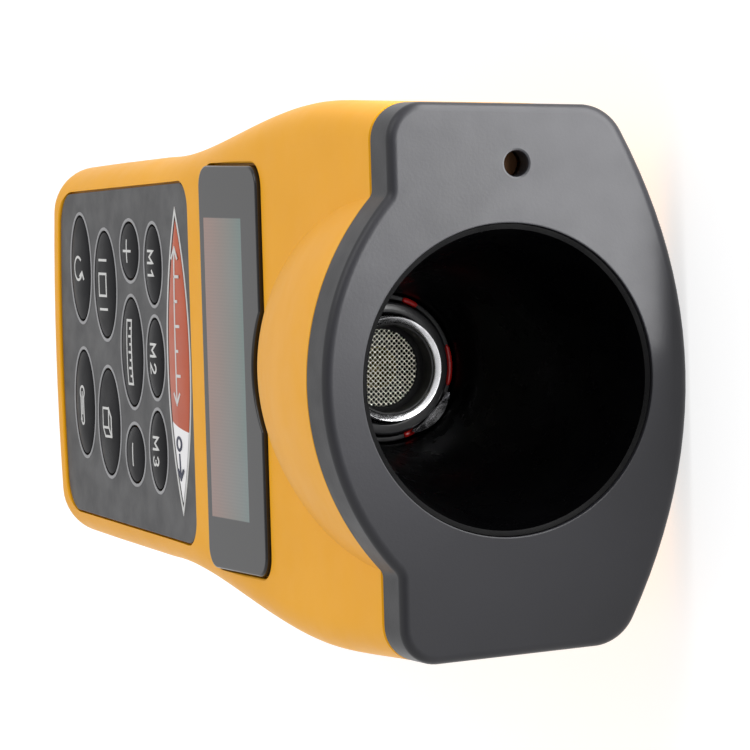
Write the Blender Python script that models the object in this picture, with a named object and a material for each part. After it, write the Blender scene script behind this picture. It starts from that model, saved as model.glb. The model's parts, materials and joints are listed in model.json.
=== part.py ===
"""Handheld ultrasonic distance meter with a laser pointer, as an assembly of its separate pieces.

Metres, +Z up. The meter lies on its back: the keypad looks up (+Z) and the horn looks along -Y.
X = 0 is the plane that halves the body, Y = 0 is the middle of its length, and Z = 0 is its lowest
point, the back of the head. "Depth" below means the distance behind the flat face of the nose.
"""

import math

import bmesh
import bpy
from mathutils import Vector

MM = 0.001
GAP = 0.3 * MM  # between two pieces that touch on the real meter

# Overall body
LENGTH = 141.4 * MM
HEAD_HALF_WIDTH = 36.2 * MM
HANDLE_HALF_WIDTH = 28.9 * MM
HANDLE_TAPER = 1.7 * MM  # what each side of the handle loses between its start and the tail
SIDE_DRAFT = 0.9 * MM  # how far each side leans in, from the keypad face to the back
WAIST_START, WAIST_END = 28.5 * MM, 97.6 * MM  # depths between which the head narrows to the handle
BACK_RISE_START, BACK_RISE_END = 44.0 * MM, 84.0 * MM  # the same for the back
HEAD_BACK = 25.1 * MM  # horn axis to the back of the head
HANDLE_BACK = 16.0 * MM  # horn axis to the back of the handle
FACE = 15.6 * MM  # horn axis to the keypad face
HEAD_CROWN = 10.3 * MM  # how much the back of the head curves up towards its sides
EDGE_FRONT, EDGE_HANDLE = 4.8 * MM, 6.0 * MM  # radius along the keypad face
HEEL_FRONT, HEEL_HANDLE = 6.5 * MM, 9.0 * MM  # radius along the back
TAIL_CORNER, TAIL_EDGE, TAIL_BOW = 6.0 * MM, 5.0 * MM, 2.6 * MM
WALL = 2.0 * MM
PARTING = -2.0 * MM  # from the horn axis to where the two housings meet

# Dome over the horn: a barrel round an axis below the horn's
DOME_AXIS = -9.8 * MM
DOME_RADIUS = 35.0 * MM
DOME_REACH = 50.0 * MM  # depth at which it runs out into the keypad face

# Nose
RIM_DEPTH = 6.5 * MM
RIM_FILLET = 1.2 * MM
NOSE_HALF_WIDTH = 35.6 * MM
NOSE_PLATE = 2.6 * MM
NOSE_KINK = 1.6 * MM
SPIGOT_LENGTH, SPIGOT_WALL = 3.0 * MM, 1.0 * MM
HORN_MOUTH_RADIUS = 20.0 * MM
LASER_X, LASER_Z = 27.5 * MM, -1.8 * MM
LASER_HOLE_RADIUS = 1.65 * MM

# Horn and transducer
HORN_WALL = 1.2 * MM
HORN_LIP = 0.8 * MM
HORN_FLANGE = 0.45 * MM
CAN_RADIUS, CAN_LENGTH, CAN_WALL = 7.1 * MM, 10.0 * MM, 0.9 * MM
CAN_DEPTH = 39.8 * MM  # depth of the can's bright rim
PIN_X, PIN_LENGTH = 2.5 * MM, 4.0 * MM
MESH_DEPTH_IN_CAN, MESH_THICKNESS = 4.4 * MM, 0.5 * MM
COLLAR_WALL, COLLAR_BEHIND_RIM = 1.6 * MM, 2.4 * MM
SEAL_WALL, SEAL_BEHIND_RIM = 0.7 * MM, 3.0 * MM
SLEEVE_ROUND = 0.3 * MM
THROAT_START = 40.5 * MM

# Display
WINDOW_GAP = -2.7 * MM  # from the dome's reach to the window's near edge: the dome bites into the window
WINDOW_LENGTH, WINDOW_HALF_WIDTH, WINDOW_CORNER = 22.8 * MM, 27.8 * MM, 3.0 * MM
WINDOW_BITE_CLEAR = 0.6 * MM  # between the dome's edge and the window's bitten edge
WINDOW_THICKNESS, WINDOW_LEDGE, WINDOW_PROUD = 1.6 * MM, 1.2 * MM, 0.6 * MM
WINDOW_LEDGE_THICKNESS = 1.1 * MM
GLASS_LENGTH, GLASS_HALF_WIDTH, GLASS_THICKNESS = 15.8 * MM, 23.0 * MM, 2.2 * MM
BACKLIGHT_THICKNESS, ZEBRA_WIDTH, LCD_FRAME_WALL = 2.0 * MM, 1.5 * MM, 1.2 * MM

# Keypad
KEYPAD_GAP = 6.9 * MM  # rib of housing between window and keypad
KEYPAD_NEAR_HALF_WIDTH, KEYPAD_FAR_HALF_WIDTH = 25.5 * MM, 23.4 * MM
KEYPAD_CORNER = 3.6 * MM
TAIL_MARGIN = 6.6 * MM
KEYPAD_TOP_MARGIN, KEYPAD_END_MARGIN = 0.9 * MM, 5.3 * MM
OVERLAY_THICKNESS, OVERLAY_SUNK = 0.6 * MM, 0.3 * MM
KEY_RING = 0.5 * MM  # printed ring round each key
KEY_PROUD, KEY_TRAVEL = 0.5 * MM, 0.6 * MM
KEY_STEM_SHARE = 0.55
MAT_THICKNESS, MAT_BUMP, MAT_BUMP_RADIUS = 1.0 * MM, 0.7 * MM, 2.2 * MM
# Rows from the window towards the tail: ring height, then (name, centre x, ring width) of each key
KEY_ROWS = (
    (9.3 * MM, (("key_measure", 0.2 * MM, 42.3 * MM),)),
    (
        7.9 * MM,
        (
            ("key_memory_1", 13.7 * MM, 11.9 * MM),
            ("key_memory_2", 0.4 * MM, 11.9 * MM),
            ("key_memory_3", -12.9 * MM, 11.9 * MM),
        ),
    ),
    (
        10.0 * MM,
        (
            ("key_plus", 15.5 * MM, 8.9 * MM),
            ("key_unit", 0.9 * MM, 16.3 * MM),
            ("key_minus", -13.9 * MM, 8.9 * MM),
        ),
    ),
    (10.2 * MM, (("key_area", 10.4 * MM, 16.2 * MM), ("key_volume", -9.7 * MM, 16.2 * MM))),
    (9.4 * MM, (("key_recall", 12.6 * MM, 16.1 * MM), ("key_temperature", -7.3 * MM, 16.1 * MM))),
)
SMALL_KEY_HEIGHT = 8.6 * MM  # plus and minus are rounder than the key between them
MEASURE_TIP = 0.5 * MM

# Boards and battery
BOARD_TOP = 7.6 * MM  # horn axis to the board's key side
BOARD_THICKNESS = 1.6 * MM
BOARD_HEAD_HALF_WIDTH, BOARD_HANDLE_HALF_WIDTH = 24.6 * MM, 17.6 * MM
BOARD_TAIL_MARGIN = 10.5 * MM
BATTERY_LENGTH, BATTERY_HALF_WIDTH, BATTERY_HEIGHT = 46.4 * MM, 13.2 * MM, 17.0 * MM
BATTERY_STUD_X, BATTERY_STUD_LENGTH = 6.35 * MM, 2.0 * MM
SNAP_THICKNESS = 3.0 * MM
BATTERY_TAIL_ROOM = 3.8 * MM  # the tail's rounded edge takes this much of the bay
BAY_WALL = 1.2 * MM
DOOR_LIP, DOOR_TONGUE, DOOR_TAIL = 1.6 * MM, 1.2 * MM, 6.0 * MM
DOOR_END_HEIGHT = 8.0 * MM  # how far the door climbs the tail
DOOR_RIBS, DOOR_RIB_PITCH, DOOR_RIB_HEIGHT = 5, 2.2 * MM, 0.35 * MM

# Screws: (x, depth) of the two pairs that close the housings
SCREW_HEAD_PAIR = (27.5 * MM, 41.0 * MM)
SCREW_DOOR_CLEARANCE, SCREW_TAIL_PAIR_MARGIN = 6.0 * MM, 9.0 * MM  # from the door's side and the tail
SCREW_RADIUS, SCREW_HEAD_RADIUS, SCREW_HEAD_HEIGHT = 1.2 * MM, 2.6 * MM, 1.8 * MM
SCREW_SEAT, SCREW_LENGTH = -11.0 * MM, 18.0 * MM  # underside of the head, from the horn axis
BOSS_WALL = 1.6 * MM
BOARD_SCREW_X, BOARD_SCREW_LENGTH = 21.0 * MM, 4.5 * MM

# Laser module
LASER_BARREL_RADIUS, LASER_BARREL_LENGTH = 3.0 * MM, 14.0 * MM
LASER_LENS_RADIUS = 1.9 * MM
WIRE_RADIUS = 0.5 * MM

# Places worked out from the above
FRONT_Y = -LENGTH / 2
WINDOW_START = DOME_REACH + WINDOW_GAP
WINDOW_END = WINDOW_START + WINDOW_LENGTH
KEYPAD_START = WINDOW_END + KEYPAD_GAP
KEYPAD_END = LENGTH - TAIL_MARGIN
DOME_DROP = DOME_RADIUS - (FACE - DOME_AXIS)
DOME_PROFILE_RADIUS = (DOME_REACH**2 + DOME_DROP**2) / (2 * DOME_DROP)
DOOR_START = LENGTH - WALL - BATTERY_TAIL_ROOM - BATTERY_LENGTH - BATTERY_STUD_LENGTH - SNAP_THICKNESS
WALL_INSIDE = FACE - WALL
CAN_END = CAN_DEPTH + CAN_LENGTH
HORN_END = CAN_END + GAP + HORN_WALL
BOARD_START = HORN_END + 0.4 * MM
GLASS_START = BOARD_START + GAP + LCD_FRAME_WALL
DOOR_HALF_WIDTH = BATTERY_HALF_WIDTH + DOOR_LIP + 2 * GAP
SCREW_TAIL_PAIR_X = DOOR_HALF_WIDTH + SCREW_DOOR_CLEARANCE
BOSS_RADIUS = SCREW_RADIUS + GAP + BOSS_WALL
BOARD_SCREW_RADIUS = SCREW_RADIUS * 0.8
BOARD_BOSS_RADIUS = BOARD_SCREW_RADIUS + GAP + 1.0 * MM

YELLOW, BLACK, GLOSS_BLACK = (0.83, 0.41, 0.04), (0.045, 0.046, 0.052), (0.006, 0.006, 0.007)
SILVER, BRASS, COPPER = (0.72, 0.72, 0.74), (0.62, 0.46, 0.2), (0.55, 0.27, 0.12)
GREEN, RED, WHITE, RUBBER = (0.03, 0.16, 0.07), (0.6, 0.02, 0.015), (0.8, 0.8, 0.78), (0.1, 0.1, 0.105)


def y_at(depth):
    return FRONT_Y + depth


def z_at(height):
    """Height above the horn axis to Z."""
    return HEAD_BACK + height


def smooth(value, start, end):
    """0 at start, 1 at end, level at both."""
    t = min(1.0, max(0.0, (value - start) / (end - start)))
    return t * t * (3 - 2 * t)


def mix(a, b, t):
    return a + (b - a) * t


# Materials and objects


def material(name, colour, roughness=0.5, metallic=0.0):
    found = bpy.data.materials.get(name)
    if found:
        return found
    made = bpy.data.materials.new(name)
    made.use_nodes = True
    shader = made.node_tree.nodes["Principled BSDF"]
    shader.inputs["Base Color"].default_value = (*colour, 1.0)
    shader.inputs["Roughness"].default_value = roughness
    shader.inputs["Metallic"].default_value = metallic
    return made


def finish_object(name, bm, finish, flat_angle=35):
    bmesh.ops.recalc_face_normals(bm, faces=bm.faces)
    mesh = bpy.data.meshes.new(name)
    bm.to_mesh(mesh)
    bm.free()
    mesh.shade_smooth()
    mesh.set_sharp_from_angle(angle=math.radians(flat_angle))
    obj = bpy.data.objects.new(name, mesh)
    bpy.context.scene.collection.objects.link(obj)
    if finish:
        mesh.materials.append(finish)
    else:
        obj.hide_render = True
        obj.display_type = "WIRE"
    return obj


def loft(name, rings, finish=None, fan=True):
    """Rings of equal length joined in order; each end is a fan of triangles or one flat face."""
    bm = bmesh.new()
    loops = [[bm.verts.new(point) for point in ring] for ring in rings]
    for near, far in zip(loops, loops[1:]):
        for i, vertex in enumerate(near):
            bm.faces.new((vertex, near[i - 1], far[i - 1], far[i]))
    for loop in (loops[0], loops[-1]):
        if not fan:
            bm.faces.new(loop)
            continue
        middle = bm.verts.new([sum(v.co[k] for v in loop) / len(loop) for k in range(3)])
        for i, vertex in enumerate(loop):
            bm.faces.new((middle, loop[i - 1], vertex))
    return finish_object(name, bm, finish)


def prism(name, outline, low, high, finish=None):
    """An outline of (x, y) raised from Z low to Z high."""
    bm = bmesh.new()
    add_prism(bm, outline, low, high)
    return finish_object(name, bm, finish)


def add_prism(bm, outline, low, high):
    bottom = [bm.verts.new((x, y, low)) for x, y in outline]
    top = [bm.verts.new((x, y, high)) for x, y in outline]
    for i, vertex in enumerate(bottom):
        bm.faces.new((vertex, bottom[i - 1], top[i - 1], top[i]))
    bm.faces.new(bottom)
    bm.faces.new(top)


def prisms(name, parts, finish=None):
    """Several separate prisms as one cutter or one set to be joined: (outline, low, high) of each."""
    bm = bmesh.new()
    for outline, low, high in parts:
        add_prism(bm, outline, low, high)
    return finish_object(name, bm, finish)


def rectangle(x0, x1, y0, y1):
    return [(x0, y0), (x1, y0), (x1, y1), (x0, y1)]


def box(name, x0, x1, y0, y1, z0, z1, finish=None):
    return prism(name, rectangle(x0, x1, y0, y1), z0, z1, finish)


def circle(x, y, radius, steps=24):
    turn = 2 * math.pi / steps
    angles = [turn * (i + 0.5) for i in range(steps)]
    return [(x + radius * math.cos(a), y + radius * math.sin(a)) for a in angles]


def ellipse(x, y, half_x, half_y, steps=24):
    turn = 2 * math.pi / steps
    angles = [turn * (i + 0.5) for i in range(steps)]
    return [(x + half_x * math.cos(a), y + half_y * math.sin(a)) for a in angles]


def rounded(corners, steps=5):
    """A convex outline with each corner (x, y, radius) rounded."""
    outline = []
    for i, (x, y, radius) in enumerate(corners):
        ahead, behind = corners[(i + 1) % len(corners)], corners[i - 1]
        unit = []
        for other in (behind, ahead):
            dx, dy = other[0] - x, other[1] - y
            length = math.hypot(dx, dy)
            unit.append((dx / length, dy / length))
        (ax, ay), (bx, by) = unit
        half = math.acos(max(-1.0, min(1.0, ax * bx + ay * by))) / 2
        reach = radius / math.sin(half)
        mx, my = ax + bx, ay + by
        scale = reach / math.hypot(mx, my)
        cx, cy = x + mx * scale, y + my * scale
        run = radius / math.tan(half)
        start = math.atan2(y + ay * run - cy, x + ax * run - cx)
        end = math.atan2(y + by * run - cy, x + bx * run - cx)
        sweep = (end - start + math.pi) % (2 * math.pi) - math.pi
        for step in range(steps + 1):
            angle = start + sweep * step / steps
            outline.append((cx + radius * math.cos(angle), cy + radius * math.sin(angle)))
    return outline


def turned(name, profile, x, height, finish=None, steps=32):
    """A closed profile of (radius, depth), turned round an axis along Y."""
    bm = bmesh.new()
    turn = 2 * math.pi / steps
    loops = []
    for i in range(steps):
        c, s = math.cos(turn * i), math.sin(turn * i)
        loops.append([bm.verts.new((x + r * c, y_at(d), z_at(height) + r * s)) for r, d in profile])
    for i, loop in enumerate(loops):
        before = loops[i - 1]
        for k, vertex in enumerate(loop):
            if max(profile[k][0], profile[k - 1][0]) > 0:
                bm.faces.new((vertex, loop[k - 1], before[k - 1], before[k]))
    bmesh.ops.remove_doubles(bm, verts=bm.verts, dist=1e-6)
    return finish_object(name, bm, finish)


def rod(name, x, height, radius, start, end, finish=None, steps=24):
    """A plain cylinder along Y between two depths."""
    ring = [(x + r[0], r[1]) for r in circle(0, z_at(height), radius, steps)]
    return loft(name, [[(px, y_at(d), pz) for px, pz in ring] for d in (start, end)], finish)


def post(x, depth, radius, low, high, steps=14):
    """One prism for prisms(): a cylinder along Z."""
    return circle(x, y_at(depth), radius, steps), z_at(low), z_at(high)


def boolean(obj, operation, *others):
    for other in others:
        modifier = obj.modifiers.new(f"{operation.lower()} {other.name}", "BOOLEAN")
        modifier.operation = operation
        modifier.object = other
        modifier.solver = "EXACT"
        other.hide_render = True
        other.display_type = "WIRE"
    return obj


def wire(name, points, finish, sides=8):
    """A lead through its points (x, depth, height), on one smooth curve."""
    path = [Vector(place) for place in smooth_path([(x, y_at(d), z_at(h)) for x, d, h in points])]
    side, rings = Vector((1.0, 0.0, 0.0)), []
    for i, place in enumerate(path):
        along = (path[min(i + 1, len(path) - 1)] - path[max(i - 1, 0)]).normalized()
        side = (side - along * side.dot(along)).normalized()
        other = along.cross(side)
        offsets = circle(0, 0, WIRE_RADIUS, sides)
        rings.append([place + side * u + other * v for u, v in offsets])
    return loft(name, rings, finish)


def smooth_path(points, steps=4):
    """A Catmull-Rom curve through the points."""
    ends = [points[0], *points, points[-1]]
    path = [points[0]]
    for a, b, c, d in zip(ends, ends[1:], ends[2:], ends[3:]):
        for step in range(1, steps + 1):
            t = step / steps
            path.append(
                tuple(
                    0.5 * (2 * b[k] + (c[k] - a[k]) * t + (2 * a[k] - 5 * b[k] + 4 * c[k] - d[k]) * t * t
                           + (3 * b[k] - a[k] - 3 * c[k] + d[k]) * t**3)
                    for k in range(3)
                )
            )
    return path


# The body's shape


def half_width(depth):
    """Half the body's width, before the tail's corners are rounded."""
    handle = HANDLE_HALF_WIDTH - HANDLE_TAPER * smooth_line(depth, WAIST_END, LENGTH)
    waist = mix(HEAD_HALF_WIDTH, handle, smooth(depth, WAIST_START, WAIST_END))
    return waist - (HEAD_HALF_WIDTH - NOSE_HALF_WIDTH) * (1 - smooth(depth, 0, WAIST_START))


def smooth_line(value, start, end):
    return min(1.0, max(0.0, (value - start) / (end - start)))


def quarter(radius, beyond):
    """How far a quarter round of this radius has come in at a distance beyond its start."""
    return radius - math.sqrt(max(0.0, radius**2 - max(0.0, beyond) ** 2))


def section(depth, inset=0.0):
    """Half the body's outline at a depth, from the top centre to the bottom centre, as (x, height)."""
    back = smooth(depth, BACK_RISE_START, BACK_RISE_END)
    tail = LENGTH - inset
    width = half_width(depth) - inset
    width -= quarter(TAIL_CORNER - inset, depth - (tail - (TAIL_CORNER - inset)))
    rise = quarter(TAIL_EDGE - inset, depth - (tail - (TAIL_EDGE - inset)))
    top = FACE - inset - rise
    bottom = mix(-HEAD_BACK, -HANDLE_BACK, back) + inset + rise
    crown = mix(HEAD_CROWN, 0.0, back)
    edge = mix(EDGE_FRONT, EDGE_HANDLE, smooth(depth, WAIST_START, WAIST_END)) - inset
    heel = mix(HEEL_FRONT, HEEL_HANDLE, back) - inset
    back_half = heel_and_crown(width - SIDE_DRAFT, bottom, crown, heel)
    return [(0.0, top), *edge_arc(width, top, edge), *back_half]


def edge_arc(width, top, radius, steps=4):
    turn = math.pi / 2 / steps
    return [
        (width - radius + radius * math.sin(turn * i), top - radius + radius * math.cos(turn * i))
        for i in range(steps + 1)
    ]


def heel_and_crown(width, bottom, crown, radius, steps=4, crown_steps=4):
    """From the side wall round the heel and along the crowned back to its centre."""
    slope_at = width - radius * 0.7
    slope = math.atan(2 * crown * slope_at / width**2)
    meet = width - radius + radius * math.sin(slope)
    centre = bottom + crown * (meet / width) ** 2 + radius * math.cos(slope)
    sweep = math.pi / 2 - slope
    points = []
    for i in range(steps + 1):
        angle = sweep * i / steps
        points.append((width - radius + radius * math.cos(angle), centre - radius * math.sin(angle)))
    for i in range(1, crown_steps + 1):
        x = meet * (1 - i / crown_steps)
        points.append((x, bottom + crown * (x / width) ** 2))
    return points


def both_sides(half):
    """A closed outline from its half at x >= 0, whose first and last points are on the centre."""
    return half + [(-x, h) for x, h in reversed(half[1:-1])]


def bow(x, depth):
    """The tail is bowed: its corners lie nearer to the nose than its middle."""
    share = smooth(depth, LENGTH - 4 * TAIL_CORNER, LENGTH)
    return depth - TAIL_BOW * share * (x / HANDLE_HALF_WIDTH) ** 2


def body_depths(inset, start):
    """Depths of the body's sections: closer together round the waist and the tail's edge."""
    first = [start, WAIST_START * 0.6]
    steps = 9
    middle = [mix(WAIST_START, WAIST_END, i / steps) for i in range(steps + 1)]
    radius = TAIL_CORNER - inset
    bend = LENGTH - inset - radius
    tail = [bend + radius * math.sin(math.pi / 2 * i / 5) for i in range(6)]
    return first + middle + [mix(WAIST_END, bend, 0.5)] + tail


def body_rings(inset, start):
    rings = []
    for depth in body_depths(inset, start):
        outline = both_sides(section(depth, inset))
        rings.append([(x, y_at(bow(x, depth)), z_at(h)) for x, h in outline])
    return rings


def body(name, inset, start):
    return loft(name, body_rings(inset, start))


def shell(name, finish):
    """The hollow body of both housings together, open at the nose."""
    start = RIM_DEPTH + GAP
    return loft(name, body_rings(WALL, start)[::-1] + body_rings(0.0, start), finish)


def dome_radius(depth):
    return DOME_RADIUS - (DOME_PROFILE_RADIUS - math.sqrt(DOME_PROFILE_RADIUS**2 - depth**2))


def dome_edge_depth(x, clear=0.0):
    """Depth at which the dome meets the keypad face, at a given x, plus a clearance."""
    drop = DOME_RADIUS - math.hypot(x, FACE - DOME_AXIS)
    return math.sqrt(DOME_PROFILE_RADIUS**2 - (DOME_PROFILE_RADIUS - drop) ** 2) + clear


def dome(name, inset, start, base, steps=9, arc_steps=14):
    """The barrel over the horn, above a flat base."""
    rings = []
    for i in range(steps + 1):
        depth = mix(start, DOME_REACH + 1.5 * MM, i / steps)
        radius = dome_radius(max(0.0, depth)) - inset
        half_angle = math.acos((base - DOME_AXIS) / radius)
        ring = []
        for k in range(arc_steps + 1):
            angle = mix(-half_angle, half_angle, k / arc_steps)
            ring.append((radius * math.sin(angle), y_at(depth), z_at(DOME_AXIS + radius * math.cos(angle))))
        rings.append(ring)
    return loft(name, rings)


# Nose outline, with the outward direction at each point so that it can be inset


def nose_outline(inset=0.0):
    """(x, height) round the nose: dome arc, concave kink, shoulder, side, heel and crowned back."""
    shoulder = FACE
    reach = DOME_RADIUS + NOSE_KINK
    kink_height = shoulder + NOSE_KINK
    kink_x = math.sqrt(reach**2 - (kink_height - DOME_AXIS) ** 2)
    kink_angle = math.atan2(kink_x, kink_height - DOME_AXIS)
    half = []
    for i in range(11):
        angle = kink_angle * i / 10
        n = (math.sin(angle), math.cos(angle))
        half.append((DOME_RADIUS * n[0], DOME_AXIS + DOME_RADIUS * n[1], *n))
    for i in range(1, 5):
        angle = mix(kink_angle, 0.0, i / 4)
        n = (math.sin(angle), math.cos(angle))
        half.append((kink_x - NOSE_KINK * n[0], kink_height - NOSE_KINK * n[1], *n))
    moved = [(x - nx * inset, h - nz * inset) for x, h, nx, nz in half]
    return both_sides(moved + section(RIM_DEPTH, inset)[1:])


# Housings


def key_list():
    """(name, x, depth, half width, half height) of each key's printed ring."""
    heights = sum(height for height, _ in KEY_ROWS)
    free = KEYPAD_END - KEYPAD_START - KEYPAD_TOP_MARGIN - KEYPAD_END_MARGIN - heights
    gap = free / (len(KEY_ROWS) - 1)
    keys, depth = [], KEYPAD_START + KEYPAD_TOP_MARGIN
    for height, row in KEY_ROWS:
        for name, x, width in row:
            tall = SMALL_KEY_HEIGHT if name in ("key_plus", "key_minus") else height
            keys.append((name, x, depth + height / 2, width / 2, tall / 2))
        depth += height + gap
    return keys


def key_outline(name, x, depth, half_x, half_y, grow=0.0, share=1.0):
    """A key's outline, grown all round and then scaled about its middle."""
    if name != "key_measure":
        return ellipse(x, y_at(depth), (half_x + grow) * share, (half_y + grow) * share)
    tip_grow = grow * math.hypot(half_x, 2 * half_y) / (2 * half_y)  # the same gap at the sharp tips
    return almond(x, y_at(depth), (half_x + tip_grow) * share, (half_y + grow) * share)


def almond(x, y, half_x, half_y, steps=10):
    """Two equal arcs that meet in blunt tips."""
    radius = (half_x**2 + half_y**2) / (2 * half_y)
    sweep = math.asin((half_x - MEASURE_TIP) / radius)
    side = []
    for i in range(steps + 1):
        angle = mix(-sweep, sweep, i / steps)
        side.append((x + radius * math.sin(angle), y + radius * math.cos(angle) - (radius - half_y)))
    return side + [(x + half_x, y)] + [(px, 2 * y - py) for px, py in reversed(side)] + [(x - half_x, y)]


def window_outline(grow):
    """The display window's outline: a rounded rectangle with the dome's edge bitten out of its near side."""
    half, near, far = WINDOW_HALF_WIDTH + grow, WINDOW_START - grow, WINDOW_END + grow
    radius = WINDOW_CORNER + grow
    corners = [(half, near), (half, far), (-half, far), (-half, near)]
    plain = rounded([(x, y_at(depth), radius) for x, depth in corners])
    clear = WINDOW_BITE_CLEAR - grow
    reach = dome_half_width_at(near - clear)
    shares = (-1, -0.8, -0.5, -0.2, 0.2, 0.5, 0.8, 1)
    bite = [(reach * share, y_at(dome_edge_depth(reach * share, clear))) for share in shares]
    return plain + bite


def dome_half_width_at(depth):
    return math.sqrt(dome_radius(depth) ** 2 - (FACE - DOME_AXIS) ** 2)


def keypad_outline(inset=0.0):
    """The keypad overlay's outline: tapered, with a bowed edge at the tail."""
    near, far = KEYPAD_START + inset, KEYPAD_END - inset
    wide, narrow = KEYPAD_NEAR_HALF_WIDTH - inset, KEYPAD_FAR_HALF_WIDTH - inset
    corners = [(wide, near, KEYPAD_CORNER), (narrow, far, KEYPAD_CORNER * 1.3)]
    corners += [(-narrow, far, KEYPAD_CORNER * 1.3), (-wide, near, KEYPAD_CORNER)]
    plain = rounded([(x, depth, radius - inset) for x, depth, radius in corners])
    outline = []
    for i, (x, depth) in enumerate(plain):
        before = plain[i - 1]
        if depth > far - 1e-6 and before[1] > far - 1e-6 and abs(x - before[0]) > narrow:
            outline += [(mix(before[0], x, s / 6), far) for s in range(1, 6)]
        outline.append((x, depth))
    return [(x, y_at(bow(x, depth))) for x, depth in outline]


def screw_places():
    x, depth = SCREW_HEAD_PAIR
    tail = LENGTH - SCREW_TAIL_PAIR_MARGIN
    return [(x, depth), (-x, depth), (SCREW_TAIL_PAIR_X, tail), (-SCREW_TAIL_PAIR_X, tail)]


def board_screw_places():
    depth = KEYPAD_START - 2.6 * MM
    return [(BOARD_SCREW_X, depth), (-BOARD_SCREW_X, depth)]


def half_space(name, low, high):
    span = LENGTH
    return box(name, -span, span, -span, span, z_at(low), z_at(high))


def upper_housing(finish):
    upper = shell("upper_housing", finish)
    boolean(upper, "UNION", dome("dome_outside", 0.0, RIM_DEPTH + GAP, FACE - WALL / 2))
    boolean(upper, "DIFFERENCE", dome("dome_inside", WALL, 0.0, FACE - 2 * WALL))
    boolean(upper, "UNION", window_seat())
    bosses = [post(x, d, BOSS_RADIUS, PARTING - WALL, FACE - WALL / 3) for x, d in screw_places()]
    for x, d in board_screw_places():
        bosses.append(post(x, d, BOARD_BOSS_RADIUS, BOARD_TOP + GAP, FACE - WALL / 3))
    core = prisms("upper_bosses", bosses)
    boolean(core, "INTERSECT", body("upper_boss_limit", WALL / 3, 0.0))
    boolean(upper, "UNION", core)
    boolean(upper, "DIFFERENCE", half_space("below_parting", -LENGTH, PARTING + GAP / 2))
    tip = SCREW_SEAT + SCREW_LENGTH + GAP
    pilots = [post(x, d, SCREW_RADIUS + GAP, PARTING - WALL, tip) for x, d in screw_places()]
    board_tip = BOARD_TOP + BOARD_SCREW_LENGTH - BOARD_THICKNESS + GAP
    pilots += [post(x, d, BOARD_SCREW_RADIUS + GAP, 0.0, board_tip) for x, d in board_screw_places()]
    boolean(upper, "DIFFERENCE", prisms("upper_pilots", pilots))
    boolean(upper, "DIFFERENCE", window_cut())
    boolean(upper, "DIFFERENCE", window_opening_cut())
    boolean(upper, "DIFFERENCE", keypad_cut())
    boolean(upper, "DIFFERENCE", key_holes("key_holes", WALL_INSIDE - WALL, FACE + WALL))
    return upper


def window_cut():
    floor = FACE + WINDOW_PROUD - WINDOW_THICKNESS - GAP
    return prism("window_pocket", window_outline(GAP), z_at(floor), z_at(FACE + 2 * WALL))


def window_seat():
    """Thickens the face round the window, to carry the ledge the window is glued on."""
    under = FACE + WINDOW_PROUD - WINDOW_THICKNESS - GAP - WINDOW_LEDGE_THICKNESS
    return prism("window_seat", window_outline(WINDOW_LEDGE), z_at(under), z_at(FACE - WALL / 2))


def window_opening_cut():
    return prism("window_opening", window_outline(-WINDOW_LEDGE), z_at(FACE - 2 * WALL), z_at(FACE))


def keypad_cut():
    floor = FACE - OVERLAY_SUNK - OVERLAY_THICKNESS - GAP
    return prism("keypad_pocket", keypad_outline(-GAP), z_at(floor), z_at(FACE + WALL))


def key_holes(name, low, high):
    outlines = [key_outline(*key, grow=GAP - KEY_RING) for key in key_list()]
    return prisms(name, [(outline, z_at(low), z_at(high)) for outline in outlines])


def door_cutter(name, clear):
    """The part of the lower shell that belongs to the battery door, with a clearance."""
    side, end = DOOR_HALF_WIDTH + clear, LENGTH + WALL
    lip = side + DOOR_LIP
    start, tail = DOOR_START - clear, LENGTH - DOOR_TAIL - clear
    outline = [(-side, start), (side, start), (side, tail), (lip, tail)]
    outline += [(lip, end), (-lip, end), (-lip, tail), (-side, tail)]
    top = -DOOR_END_HEIGHT + clear
    return prism(name, [(x, y_at(d)) for x, d in outline], z_at(-HEAD_BACK - WALL), z_at(top))


def lower_housing(finish):
    lower = shell("lower_housing", finish)
    outer = SCREW_HEAD_RADIUS + GAP + 1.0 * MM
    posts = [post(x, d, outer, -2 * HEAD_BACK, PARTING + WALL) for x, d in screw_places()]
    core = prisms("lower_bosses", posts)
    boolean(core, "INTERSECT", body("lower_boss_limit", WALL / 3, 0.0))
    boolean(lower, "UNION", core)
    boolean(lower, "DIFFERENCE", half_space("above_parting", PARTING - GAP / 2, LENGTH))
    hole, seat = SCREW_RADIUS + GAP, SCREW_HEAD_RADIUS + GAP
    holes = [post(x, d, hole, -2 * HEAD_BACK, WALL) for x, d in screw_places()]
    boolean(lower, "DIFFERENCE", prisms("lower_screw_holes", holes))
    seats = [post(x, d, seat, -2 * HEAD_BACK, SCREW_SEAT + GAP) for x, d in screw_places()]
    boolean(lower, "DIFFERENCE", prisms("lower_screw_seats", seats))
    boolean(lower, "DIFFERENCE", door_cutter("door_opening", GAP))
    boolean(lower, "UNION", battery_bay())
    return lower


def battery_bay():
    """A bulkhead in front of the battery and a wall on each of its sides, down to the door's tongues."""
    inner = BATTERY_HALF_WIDTH + 2 * GAP
    outer = inner + BAY_WALL
    top, low = z_at(PARTING - GAP / 2), z_at(tongue_heights()[1] + GAP)
    front = DOOR_START - 2 * GAP
    back = LENGTH - WALL - TAIL_EDGE
    half = half_width(front) - 2 * WALL
    bulkhead = -half, half, y_at(front - BAY_WALL), y_at(front)
    bay = box("battery_bay", *bulkhead, z_at(-HANDLE_BACK + WALL / 2), top)
    for side in (-1, 1):
        x0, x1 = sorted((side * inner, side * outer))
        word = "left" if side < 0 else "right"
        wall = box(f"bay_wall_{word}", x0, x1, y_at(front - BAY_WALL / 2), y_at(back), low, top)
        boolean(bay, "UNION", wall)
    return bay


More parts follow.
